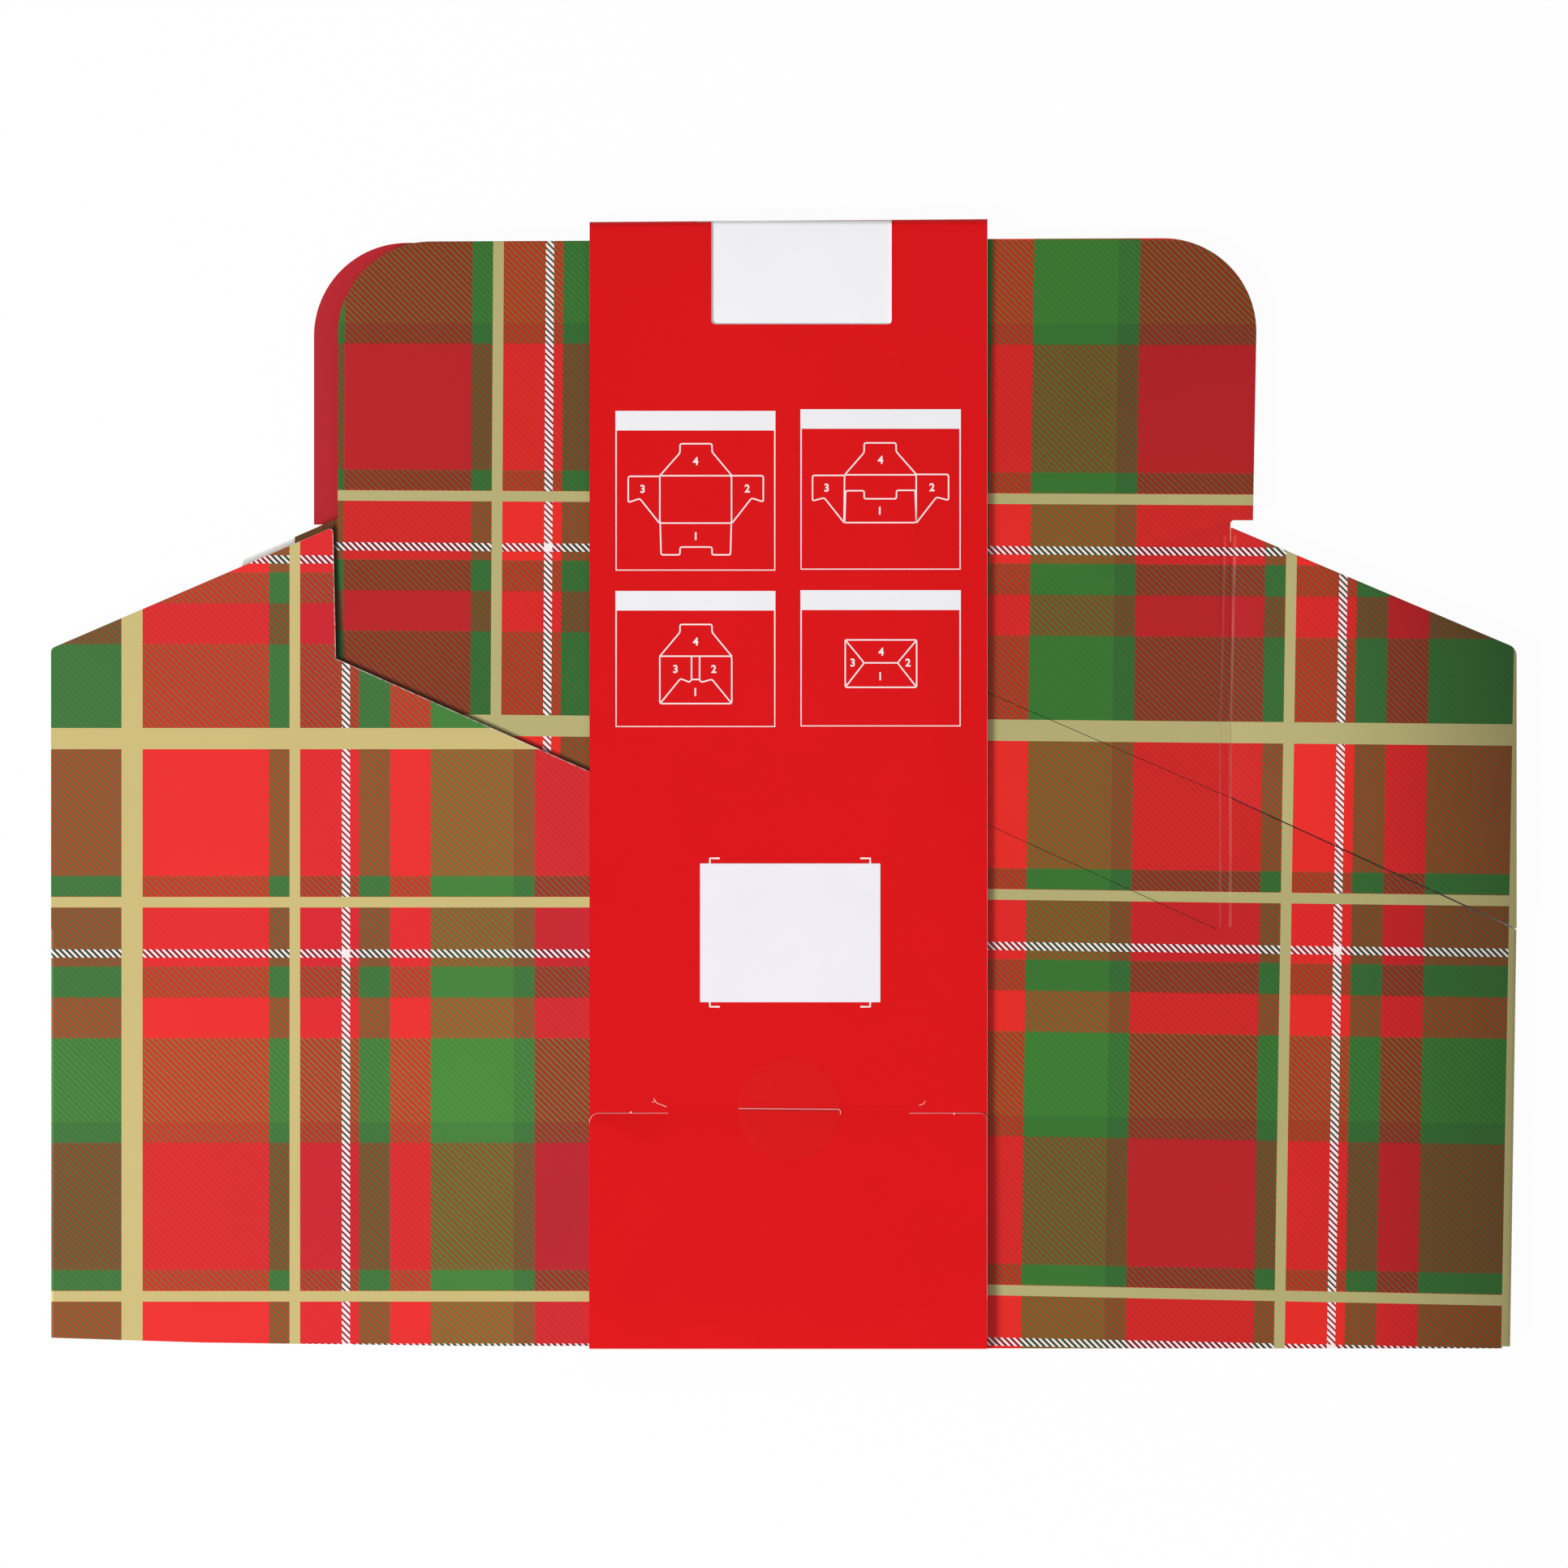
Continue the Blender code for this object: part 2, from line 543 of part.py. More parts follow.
def build_tuck_flap(parts, guide):
    """The tuck flap and the round seal on it, both placed from the flap's crease."""
    crease = Vector((SLEEVE_OFFSET, SLEEVE_BOTTOM_Y + SLEEVE_CARD / 2, TUCK_FLAP_Z + SLEEVE_CARD / 2))
    flap = plate("tuck_flap", tuck_flap_corners(), TUCK_FLAP_Z, SLEEVE_CARD, crease)
    flap.data.materials.append(finish_material("tuck_flap", SLEEVE_RED))
    seal_place = (SLEEVE_OFFSET + SEAL_OFFSET,
                  SLEEVE_BOTTOM_Y + TUCK_FLAP_LENGTH + TUCK_STEP_HEIGHT,
                  SEAL_Z + STICKER_FILM / 2)
    mesh = bpy.data.meshes.new("round_seal")
    shape = bmesh.new()
    bmesh.ops.create_cone(shape, cap_ends=True, segments=SEAL_SIDES, radius1=SEAL_RADIUS,
                          radius2=SEAL_RADIUS, depth=STICKER_FILM)
    bmesh.ops.translate(shape, verts=shape.verts, vec=Vector(seal_place) - crease)
    shape.to_mesh(mesh)
    shape.free()
    mesh.materials.append(finish_material("round_seal", SEAL_CLEAR))
    seal = bpy.data.objects.new("round_seal", mesh)
    for item in (flap, seal):
        item.location = crease - Vector(guide.location)
        item.parent = guide
        parts.objects.link(item)


def main():
    """Build the flat-packed carrier and its sleeve."""
    clear_scene()
    parts = new_collection("bottle_gift_carrier")
    cutters = new_collection("cutters")
    build_carrier(parts)
    build_sleeve(parts, cutters)


main()
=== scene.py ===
"""Flat-packed tartan bottle carrier in its red card sleeve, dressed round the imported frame.

Lengths are metres. X runs across the pack, Y up to the handle, and Z up towards the viewer.
Places are measured on a grid of 0.18 mm steps, counted across and down, which at() turns into X and Y.
"""

import math

import bmesh
import bpy
from bpy.props import FloatProperty, FloatVectorProperty, IntProperty, PointerProperty
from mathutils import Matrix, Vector


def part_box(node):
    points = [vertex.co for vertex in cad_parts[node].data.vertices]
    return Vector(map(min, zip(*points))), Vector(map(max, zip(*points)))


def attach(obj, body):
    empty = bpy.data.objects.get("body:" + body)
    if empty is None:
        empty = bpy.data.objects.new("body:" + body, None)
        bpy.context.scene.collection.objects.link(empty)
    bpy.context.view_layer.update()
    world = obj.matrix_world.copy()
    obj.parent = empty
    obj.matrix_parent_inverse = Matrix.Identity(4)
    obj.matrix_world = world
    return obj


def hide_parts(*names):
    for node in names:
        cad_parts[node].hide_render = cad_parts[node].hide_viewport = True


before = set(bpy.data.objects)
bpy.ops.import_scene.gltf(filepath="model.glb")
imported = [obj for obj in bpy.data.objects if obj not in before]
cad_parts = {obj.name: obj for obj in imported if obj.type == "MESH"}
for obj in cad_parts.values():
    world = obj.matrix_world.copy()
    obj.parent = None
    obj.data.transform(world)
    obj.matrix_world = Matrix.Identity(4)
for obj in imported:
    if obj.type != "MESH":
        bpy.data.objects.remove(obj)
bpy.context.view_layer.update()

bl_info = {
    "name": "Flat-packed Bottle Carrier",
    "version": (1, 0, 0),
    "blender": (4, 5, 0),
    "location": "3D View > Sidebar > Carrier",
    "description": "Builds a flat-packed tartan bottle carrier held by a red card sleeve",
    "category": "Add Mesh",
}

GRID = 0.00018
GRID_CENTRE_X = 966.5
GRID_CENTRE_Y = 966.0
GRID_END = 2000

BOARD = 0.0005
CARD = 0.00035
CLEARANCE = 0.00003
SAME_PLACE = 1e-6
FRONT_WALL_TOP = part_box("front_wall")[1][2]
FRONT_SHEET_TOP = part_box("handle_panel_front")[1][2]
SLEEVE_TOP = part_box("sleeve_front")[1][2]
SLEEVE_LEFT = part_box("sleeve_front")[0][0]
SLEEVE_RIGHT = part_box("sleeve_front")[1][0]
SLEEVE_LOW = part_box("sleeve_bottom_fold")[0][1]
SLEEVE_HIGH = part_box("sleeve_top_fold")[1][1]
FLAP_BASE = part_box("tuck_flap")[0][2]
LEFT_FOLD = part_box("front_wall")[0][0]
TURN_LEVEL = (FRONT_WALL_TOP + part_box("back_wall")[0][2]) / 2

# The front wall's fold at the far left, and the row below which it reaches down to the back wall
FOLD_DROP = FRONT_WALL_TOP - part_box("left_end_wall")[0][2]
FOLD_LAP = 10.3 * GRID
FOLD_ROUND = 0.0006
FOLD_STEPS = 6
FOLD_ROW = 1146.5

# The boards' outlines on the grid
WALL_LEFT, SHEET_RIGHT_EDGE = 63.7, 1869.3
HANDLE_LEFT, HANDLE_TOP, HANDLE_RIGHT = 415, 293.4, 1545.6
HANDLE_ROUND = 115 * GRID
CREASE, LIP_ROW, SLEEVE_SIDE = 1516.6, 641, 1163.7
SLEEVE_TILT = 3.6 * GRID
WINDOW_LEFT, WINDOW_RIGHT, WINDOW_FOOT = 877, 1099, 400
SLIT_ROW = 1367
TONGUE_LEFT, TONGUE_RIGHT = 824, 1121


def paint(red, green, blue):
    """A screen colour of 0 to 255 as the linear values that Blender works in."""
    linear = []
    for value in (red, green, blue):
        part = value / 255
        linear.append(part / 12.92 if part <= 0.04045 else ((part + 0.055) / 1.055) ** 2.4)
    return tuple(linear)


def at(across, down):
    """A place on the measuring grid as X and Y."""
    return Vector(((across - GRID_CENTRE_X) * GRID, (GRID_CENTRE_Y - down) * GRID))


def column(across):
    return at(across, 0).x


def row(down):
    return at(0, down).y


def region(left=0, top=0, right=GRID_END, bottom=GRID_END):
    """A test of whether a spot lies inside a rectangle of the grid."""
    low, high = at(left, bottom), at(right, top)
    return lambda spot: low.x < spot.x < high.x and low.y < spot.y < high.y


# Settings that a user would change


def colour_setting(name, description, red, green, blue):
    """A colour, whose default is given in screen levels."""
    return FloatVectorProperty(name=name, description=description, subtype="COLOR", size=3,
                               default=paint(red, green, blue))


def length_setting(name, description, default):
    return FloatProperty(name=name, description=description, unit="LENGTH", default=default)


class BoardSettings(bpy.types.PropertyGroup):
    """Sizes and inks of the tartan boards."""
    gold: colour_setting("Gold", "Gold lines of the tartan", 203, 186, 122)
    bright_red: colour_setting("Bright red", "Lightest red band", 232, 46, 44)
    middle_red: colour_setting("Middle red", "Red of the narrow bands", 213, 36, 46)
    crimson: colour_setting("Crimson", "Darkest red band, and the rear handle's reverse", 182, 34, 44)
    green: colour_setting("Green", "Green bands", 70, 132, 56)
    dark_green: colour_setting("Dark green", "Narrow dark green bands", 60, 111, 55)
    stitch_white: colour_setting("Stitch white", "White dashed lines", 252, 234, 234)
    core: colour_setting("Board core", "Pale core seen at a cut edge", 252, 232, 228)
    reverse: colour_setting("Board reverse", "Unprinted side of the board", 240, 238, 234)
    wall_rim: length_setting("Wall rim", "Rubbed rim round the top wall", 0.00014)
    sheet_rim: length_setting("Sheet rim", "Small rim round the other boards", 0.00007)
    slot_width: length_setting("Slot width", "Width of the sloping cuts", 0.00014)
    corner_steps: IntProperty(name="Corner steps", description="Faces in a big round corner",
                              default=24, min=4, max=64)


class SleeveSettings(bpy.types.PropertyGroup):
    """Sizes and inks of the card sleeve and what is on it."""
    red: colour_setting("Sleeve red", "Red of the sleeve", 219, 12, 17)
    ink: colour_setting("White ink", "White of the printed lines", 250, 240, 240)
    header: colour_setting("Header", "Fill of the step headers", 241, 240, 243)
    core: colour_setting("Card core", "Pale core of the cut card", 246, 205, 202)
    window: colour_setting("Window card", "White card in the window", 246, 246, 248)
    label: colour_setting("Label", "Paper of the stock label", 241, 238, 245)
    fold_radius: length_setting("Fold radius", "Outer radius of the folds", 0.0015)
    line_width: length_setting("Line width", "Width of the drawn lines", 1.7 * GRID)
    mark_width: length_setting("Mark width", "Width of the label's corner marks", 2.3 * GRID)
    ink_height: length_setting("Ink height", "Thickness of the printed ink", 0.00003)
    seal_radius: length_setting("Seal radius", "Radius of the round seal", 63 * GRID)
    digit_height: length_setting("Digit height", "Height of the step numbers", 9.4 * GRID)


class StageSettings(bpy.types.PropertyGroup):
    """Camera, lamp and surroundings."""
    lens: FloatProperty(name="Lens", description="Focal length of the camera in millimetres",
                        default=200.0)
    camera_height: length_setting("Camera height", "Height above the sheets", 1.932)
    lamp_power: FloatProperty(name="Lamp power", description="Power of the soft lamp",
                              unit="POWER", default=72.0)
    lamp_size: length_setting("Lamp size", "Side of the square soft lamp", 0.9)
    ambient: FloatProperty(name="Ambient", description="Strength of the even light around",
                           default=0.45)
    floor_size: length_setting("Floor size", "Side of the floor", 8.0)


# Shader maths and nodes


def maths(operation, reflected=False):
    """A method of Value that adds one Math node."""
    def method(self, other=0.0):
        first, second = (other, self) if reflected else (self, other)
        node = self.finish.node("ShaderNodeMath", {"operation": operation}, {0: first, 1: second})
        return Value(self.finish, node.outputs[0])
    return method


class Value:
    """A number that varies over a surface. Sums on it add Math nodes."""

    def __init__(self, finish, socket):
        self.finish = finish
        self.socket = socket

    __add__ = __radd__ = maths("ADD")
    __sub__ = maths("SUBTRACT")
    __rsub__ = maths("SUBTRACT", reflected=True)
    __mul__ = __rmul__ = maths("MULTIPLY")
    __truediv__ = maths("DIVIDE")
    __pow__ = maths("POWER")
    __lt__ = maths("LESS_THAN")
    __gt__ = maths("GREATER_THAN")
    __abs__ = maths("ABSOLUTE")
    fract = maths("FRACT")
    # The larger and the smaller of two
    above = maths("MAXIMUM")
    below = maths("MINIMUM")


class Finish:
    """A node material in the making."""

    def __init__(self, name, owner=None):
        self.block = owner or bpy.data.materials.new(name)
        self.block.use_nodes = True
        self.tree = self.block.node_tree
        self.tree.nodes.clear()

    def node(self, kind, settings=None, values=None):
        """Add a node: its settings first, then what its sockets hold or are linked to."""
        node = self.tree.nodes.new(kind)
        for key, setting in (settings or {}).items():
            setattr(node, key, setting)
        for key, value in (values or {}).items():
            socket = node.inputs[key]
            value = value.socket if isinstance(value, Value) else value
            if isinstance(value, bpy.types.NodeSocket):
                self.tree.links.new(value, socket)
                continue
            if hasattr(value, "__len__"):
                value = tuple(value)
                if socket.type == "RGBA" and len(value) == 3:
                    value += (1.0,)
            socket.default_value = value
        return node

    def place(self):
        """Object coordinates."""
        return self.node("ShaderNodeTexCoord").outputs["Object"]

    def parts(self, vector):
        """A vector's X, Y and Z as numbers."""
        outputs = self.node("ShaderNodeSeparateXYZ", None, {0: vector}).outputs
        return [Value(self, socket) for socket in outputs]

    def noise(self, vector, scale, detail=2.0, stretch=(1.0, 1.0, 1.0)):
        """Noise from 0 to 1 round a middle of 0.5."""
        moved = self.node("ShaderNodeMapping", None, {"Vector": vector, "Scale": stretch}).outputs[0]
        values = {"Vector": moved, "Scale": scale, "Detail": detail, "Roughness": 0.5}
        return Value(self, self.node("ShaderNodeTexNoise", None, values).outputs[0])

    def mix(self, factor, first, second):
        """A colour between two."""
        return self.node("ShaderNodeMix", {"data_type": "RGBA"},
                         {0: factor, 6: first, 7: second}).outputs[2]

    def scale(self, colour, amount):
        """A colour made darker or lighter."""
        return self.node("ShaderNodeVectorMath", {"operation": "SCALE"},
                         {0: colour, "Scale": amount}).outputs[0]

    def times(self, colour, tint):
        """A colour multiplied by another, part by part."""
        return self.node("ShaderNodeVectorMath", {"operation": "MULTIPLY"},
                         {0: colour, 1: tint}).outputs[0]

    def bump(self, height, distance, strength=1.0, under=None):
        """A normal tipped by a height, on top of another normal if one is given."""
        values = {"Height": height, "Distance": distance, "Strength": strength}
        if under is not None:
            values["Normal"] = under
        return self.node("ShaderNodeBump", None, values).outputs[0]

    def seen_directly(self):
        """1 for the rays that show the background itself, and 0 for those that light the object."""
        rays = self.node("ShaderNodeLightPath").outputs
        seen = Value(self, rays["Is Camera Ray"]) + Value(self, rays["Is Glossy Ray"])
        return (seen + Value(self, rays["Is Transmission Ray"])).below(1.0)

    def surface(self, colour, roughness, normal=None, level=0.16, alpha=None):
        """Finish the material as a surface with a low, even shine."""
        values = {"Base Color": colour, "Roughness": roughness, "Specular IOR Level": level}
        if normal is not None:
            values["Normal"] = normal
        if alpha is not None:
            values["Alpha"] = alpha
        shader = self.node("ShaderNodeBsdfPrincipled", None, values)
        self.node("ShaderNodeOutputMaterial", None, {"Surface": shader.outputs[0]})
        return self.block


# Tartan: the bands' places within half a repeat, in grid steps

REPEAT_STEPS = 966
FIRST_LINE = 26
OUTER_GREEN = 182
GOLD_START, GOLD_END = 207, 220
WHITE_START, WHITE_END = 271.4, 281.4
INNER_GREEN, INNER_RED, LAST_GREEN = 293, 331, 381

# Weave: the slanting lines' pitch, the share of it that lies on top, and how far it shifts a band's edge
HATCH_STEPS = 7.7
OVER_SHARE = 0.29
TOOTH = 1.2
ROW_DASH, COLUMN_DASH = 0.45, 0.58
UNDER_SHARE, UNDER_LOSS = 0.33, 0.17
MIXED_TINT = (1.0, 0.80, 0.80)
MIXED_DARK, ROW_LIGHT = 0.20, 0.16
STITCH_GROUND, STITCH_GROUND_SHARE = paint(38, 8, 40), 0.66

PLAIN = (1.0, 1.0, 1.0)
# Painted shade: the handle sheet's red, green and gold inks darkened against the front wall's, for the
# dimmer light on the right
SHEET_SHADE_TINTS = ((0.97, 0.77, 0.62), (0.62, 0.77, 0.64), (0.77, 0.84, 0.91))


def thread_bands(finish, place, tooth, boards):
    """One direction of the tartan: its colour, and where it is green, gold and white."""
    straight = (place * 2).fract() * (REPEAT_STEPS / 2)
    step = straight + tooth
    second = place.fract() > 0.5
    inner = step > GOLD_START
    green = ((step < FIRST_LINE) + (step > OUTER_GREEN) - inner
             + (step > INNER_GREEN) - (step > INNER_RED) + (step > LAST_GREEN))
    gold = ((straight < FIRST_LINE) * (1 - second)
            + (straight > GOLD_START) - (straight > GOLD_END))
    white = (straight > WHITE_START) - (straight > WHITE_END)
    wide = finish.mix(second, boards.bright_red, boards.crimson)
    narrow = finish.mix(second, boards.middle_red, boards.bright_red)
    red = finish.mix(inner - (step > INNER_RED), wide, narrow)
    leaf = finish.mix((step > LAST_GREEN) * (1 - second), boards.dark_green, boards.green)
    return finish.mix(green, red, leaf), green, gold, white


def tartan_colour(finish, columns, rows, hatch_place, boards, shade_tints):
    """The tartan's colour from its two directions, in repeats, and the weave line's place."""
    # Tints of painted shade for a sheet's inks; plain on the front wall
    red_shade_tint, green_shade_tint, gold_shade_tint = shade_tints
    phase = hatch_place.fract()
    over = phase < OVER_SHARE
    tooth = over * TOOTH
    across, green_across, gold_across, white_across = thread_bands(finish, columns, tooth, boards)
    down, green_down, gold_down, white_down = thread_bands(finish, rows, tooth, boards)
    white_line = white_across.above(white_down)
    mixed = abs(green_across - green_down) * (1 - white_line)
    green_top = green_across + over * (green_down - green_across)
    top = finish.mix(over, across, down)
    under = finish.mix(over, down, across)
    cloth = finish.mix(UNDER_SHARE - UNDER_LOSS * mixed, top, under)
    cloth = finish.times(cloth, finish.mix(mixed, PLAIN, MIXED_TINT))
    cloth = finish.scale(cloth, 1 - MIXED_DARK * mixed * (1 - green_top) + ROW_LIGHT * over * green_down)
    cloth = finish.mix(white_down, cloth, across)
    cloth = finish.mix(white_across, cloth, down)
    cloth = finish.mix(white_line * STITCH_GROUND_SHARE, cloth, STITCH_GROUND)
    cloth = finish.times(cloth, finish.mix((green_across + green_down) / 2, red_shade_tint, green_shade_tint))
    dashes = (white_down * (phase < ROW_DASH)).above(white_across * (phase < COLUMN_DASH))
    dashes = dashes.above(white_across * white_down)
    cloth = finish.mix(dashes, cloth, boards.stitch_white)
    gold = tuple(tone * part for tone, part in zip(boards.gold, gold_shade_tint))
    return finish.mix(gold_across.above(gold_down), cloth, gold)


def grid_place(x, y):
    """Grid steps across and down from X and Y."""
    return x / GRID + GRID_CENTRE_X, GRID_CENTRE_Y - y / GRID


def wall_tartan(finish, x, y, boards):
    """Tartan as it lies on the front wall."""
    across, down = grid_place(x, y)
    first_column, first_row, row_stretch = 150.5, 897, 1.005
    columns = (across - first_column) / REPEAT_STEPS
    rows = (down - first_row) / (REPEAT_STEPS * row_stretch)
    return tartan_colour(finish, columns, rows, (across - down) / HATCH_STEPS, boards, (PLAIN,) * 3)


def sheet_tartan(finish, x, y, boards):
    """Tartan as it lies on the handle sheet, which is printed a little askew and bowed; its inks are
    darkened by painted shade.
    """
    across, down = grid_place(x, y)
    left, right, left_step = 606, 1585, 276
    first_lean, more_lean, lean_row = 0.0055, 0.0000103, 700
    stretch, bow = 0.98672, 0.00000826
    first_row, row_pivot, row_fall, row_growth = 881, 640, 0.0093, 0.000016
    lean = first_lean + more_lean * (across - left)
    straight = across + lean * (down - lean_row)
    columns = straight * stretch - (stretch * left + left_step)
    columns = columns - bow * ((straight - left) * (straight - right))
    rows = ((down - first_row - row_fall * (across - row_pivot))
            / (1 + row_growth * (across - row_pivot)))
    return tartan_colour(finish, columns / REPEAT_STEPS, rows / REPEAT_STEPS,
                         (across - down) / HATCH_STEPS, boards, SHEET_SHADE_TINTS)


def wall_shade(across, down):
    """Painted shade: how much the front wall's edge and slope darken the sheet just beneath them, as
    their shadow, and the sliver of sheet left of the edge.
    """
    edge_dark, left_dark, slope_dark = 0.93, 0.55, 0.78
    edge_column, edge_row, edge_lean = 411.4, 649.5, 0.0222
    slope_column, slope_row, slope_fall, square_on = 414.6, 811.5, 0.4453, 0.913
    edge_width, widening, widening_row, slope_width = 6.0, 0.055, 700, 7
    first_row, fade, last_column, last_row = 634, 14, 1165, 1146
    beside = across - edge_column - (down - edge_row) * edge_lean
    width = (edge_width + (down - widening_row) * widening).above(edge_width)
    near = (1 - beside.above(0.0) / width).above(0.0)
    over = (slope_row + (across - slope_column) * slope_fall - down) * square_on
    close = (1 - over.above(0.0) / slope_width).above(0.0)
    reach = ((down - first_row) / fade).above(0.0).below(1.0)
    reach = reach * (across < last_column) * (down < last_row)
    dark = edge_dark * near ** 0.5 * (beside > 0) + left_dark * (beside < 0)
    return (1 - dark * reach * (over > 0)) * (1 - slope_dark * close * reach * (beside > 0))


def slit_shadow_line(across, down):
    """Where a painted shadow line darkens the long sloping cut below the right shoulder."""
    first_row, fall, start_width, widening = 983.0, 0.4596, 0.35, 0.0013
    run = across - CREASE
    reach = (run > 0) * (start_width + widening * run)
    return abs(down - first_row - run * fall) < reach


# Worn creases as column, reach and strength, and where and how deep the boards' right side rolls down
SHOULDER_CREASE = (1516.5, 2.4, 0.26)
HANDLE_CREASE = (1504.0, 2.0, 0.14)
ROLL_START = 1640.0
ROLL_DROP = 0.0085
LENGTHWISE = (1.0, 0.25, 1.0)


def print_finish(name, pattern, boards, creases=(), rolled_and_slit_shaded=False, shaded=False):
    """Satin printed board: the pattern, fine grain, soft mottling and a faint waviness, with painted
    shade beside the front wall and a painted shadow line in the sloping cut where asked.
    """
    finish = Finish(name)
    vector = finish.place()
    x, y, _ = finish.parts(vector)
    across, down = grid_place(x, y)
    colour = pattern(finish, x, y, boards)
    grain = finish.noise(vector, 9000.0)
    mottle = finish.noise(vector, 38.0, 3.0)
    tone = 0.93 + 0.06 * grain + 0.08 * mottle
    # Painted shade: the front wall's shadow beside its edge and above its slope, and the darkened sliver
    # left of its edge
    if shaded:
        tone = tone * wall_shade(across, down)
    colour = finish.scale(colour, tone)
    if creases:
        top, foot, bend, lean = 660, 1142, 900, 0.025
        worn = finish.noise(vector, 900.0, stretch=(1.0, 0.15, 1.0))
        along = (down > top) * (down < foot)
    for line, reach, strength in creases:
        near = 1 - abs(across - line - lean * (bend - down).above(0.0)) / reach
        colour = finish.mix(near.above(0.0) * along * strength * worn, colour, paint(250, 190, 190))
    if rolled_and_slit_shaded:
        # Painted shadow line along the long sloping cut
        colour = finish.mix(slit_shadow_line(across, down), colour, paint(38, 24, 16))
    normal = finish.bump(finish.noise(vector, 14.0, 1.0), 0.0006, 0.35)
    if rolled_and_slit_shaded:
        roll = (across - ROLL_START).above(0.0) / (SHEET_RIGHT_EDGE - ROLL_START)
        normal = finish.bump(0 - roll * roll * ROLL_DROP, 1.0, 1.0, normal)
    normal = finish.bump(grain, 0.00001, 0.25, normal)
    return finish.surface(colour, 0.42 + 0.12 * mottle, normal)


def worn_rim_finish(boards):
    """The front wall's rubbed edge: the pale core shows through the print in places."""
    finish = Finish("worn_rim")
    vector = finish.place()
    x, y, _ = finish.parts(vector)
    chips = ((finish.noise(vector, 1300.0) - 0.34) * 2).above(0.05).below(0.55)
    colour = finish.mix(chips, wall_tartan(finish, x, y, boards), boards.core)
    return finish.surface(colour, 0.6 + 0.1 * chips)


def plain_board_finish(name, tone):
    """Uncoated board: fibres and flecks."""
    finish = Finish(name)
    vector = finish.place()
    speckle = 0.10
    fibres = finish.noise(vector, 2600.0, 3.0, LENGTHWISE)
    cloud = finish.noise(vector, 60.0, 3.0)
    colour = finish.scale(tone, 1.0 - speckle + speckle * (fibres + cloud) * 0.9)
    return finish.surface(colour, 0.72 + 0.15 * fibres, finish.bump(fibres, 0.00002, 0.4))


def card_finish(name, tone, wave=0.25):
    """Coated card: an even ink with faint grain and mottling."""
    finish = Finish(name)
    vector = finish.place()
    grain = finish.noise(vector, 7000.0)
    mottle = finish.noise(vector, 70.0, 4.0)
    colour = finish.scale(tone, 0.955 + 0.035 * grain + 0.055 * mottle)
    normal = finish.bump(finish.noise(vector, 18.0, 1.0), 0.0004, wave)
    normal = finish.bump(grain, 0.00001, 0.3, normal)
    return finish.surface(colour, 0.38 + 0.14 * mottle, normal, 0.12)


def seal_finish():
    """Clear film: a faint pale veil with a soft shine."""
    finish = Finish("clear_seal_film")
    cloud = finish.noise(finish.place(), 240.0, 3.0)
    colour = finish.mix(cloud, paint(228, 42, 42), paint(238, 74, 70))
    return finish.surface(colour, 0.30 + 0.15 * cloud, None, 0.2, 0.02 + 0.02 * cloud)


def inner_finish(name, boards, middle_level):
    """A carried-over inner board: plain faces and a pale cut edge."""
    finish = Finish(name)
    vector = finish.place()
    level = finish.parts(vector)[2]
    grain = finish.noise(vector, 2600.0, 3.0, LENGTHWISE)
    mottle = finish.noise(vector, 38.0, 3.0)
    colour = finish.scale(boards.reverse, 0.90 + 0.08 * grain + 0.08 * mottle)
    edge = abs(level - middle_level) < BOARD * 0.46
    colour = finish.mix(edge, colour, boards.core)
    return finish.surface(colour, 0.5 + 0.2 * grain, finish.bump(grain, 0.00002, 0.3))


def handle_reverse_finish(boards):
    """The rear sheet's inner side: crimson on the handle, plain board below it."""
    finish = Finish("handle_reverse_crimson")
    vector = finish.place()
    y = finish.parts(vector)[1]
    grain = finish.noise(vector, 7000.0)
    mottle = finish.noise(vector, 45.0, 3.0)
    colour = finish.mix(y > row(700), boards.reverse, boards.crimson)
    colour = finish.scale(colour, 0.93 + 0.06 * grain + 0.08 * mottle)
    normal = finish.bump(finish.noise(vector, 14.0, 1.0), 0.0006, 0.35)
    return finish.surface(colour, 0.45 + 0.12 * mottle, finish.bump(grain, 0.00001, 0.3, normal))


# Modelling by hand


def deselect():
    for item in bpy.context.selected_objects:
        item.select_set(False)


def pick(item):
    """Make one object the only selected and active one."""
    deselect()
    item.select_set(True)
    bpy.context.view_layer.objects.active = item


def settle(item, name):
    """Name an object and put its place into its mesh."""
    pick(item)
    item.name = name
    item.data.name = name
    bpy.ops.object.transform_apply(location=True, rotation=True, scale=True)
    return item


def join(items, name):
    """Make one object of several."""
    deselect()
    for item in items:
        item.select_set(True)
    bpy.context.view_layer.objects.active = items[0]
    if len(items) > 1:
        bpy.ops.object.join()
    return settle(bpy.context.object, name)


def flat_plane(name, low, high, level):
    """A plane between two corners at a level."""
    deselect()
    bpy.ops.mesh.primitive_plane_add(size=1.0, location=((low[0] + high[0]) / 2,
                                                         (low[1] + high[1]) / 2, level))
    item = bpy.context.object
    item.scale = (high[0] - low[0], high[1] - low[1], 1.0)
    return settle(item, name)


def edit(item):
    pick(item)
    bpy.ops.object.mode_set(mode="EDIT")


def leave():
    bpy.ops.object.mode_set(mode="OBJECT")


def choose(item, kind, test=lambda element: True):
    """In edit mode, select only the verts, edges or faces that pass a test, and count them."""
    kinds = ("verts", "edges", "faces")
    bpy.context.tool_settings.mesh_select_mode = [kind == name for name in kinds]
    shape = bmesh.from_edit_mesh(item.data)
    for name in kinds:
        for element in getattr(shape, name):
            element.select = False
    count = 0
    for element in getattr(shape, kind):
        if test(element):
            element.select_set(True)
            count += 1
    shape.select_flush_mode()
    bmesh.update_edit_mesh(item.data)
    return count


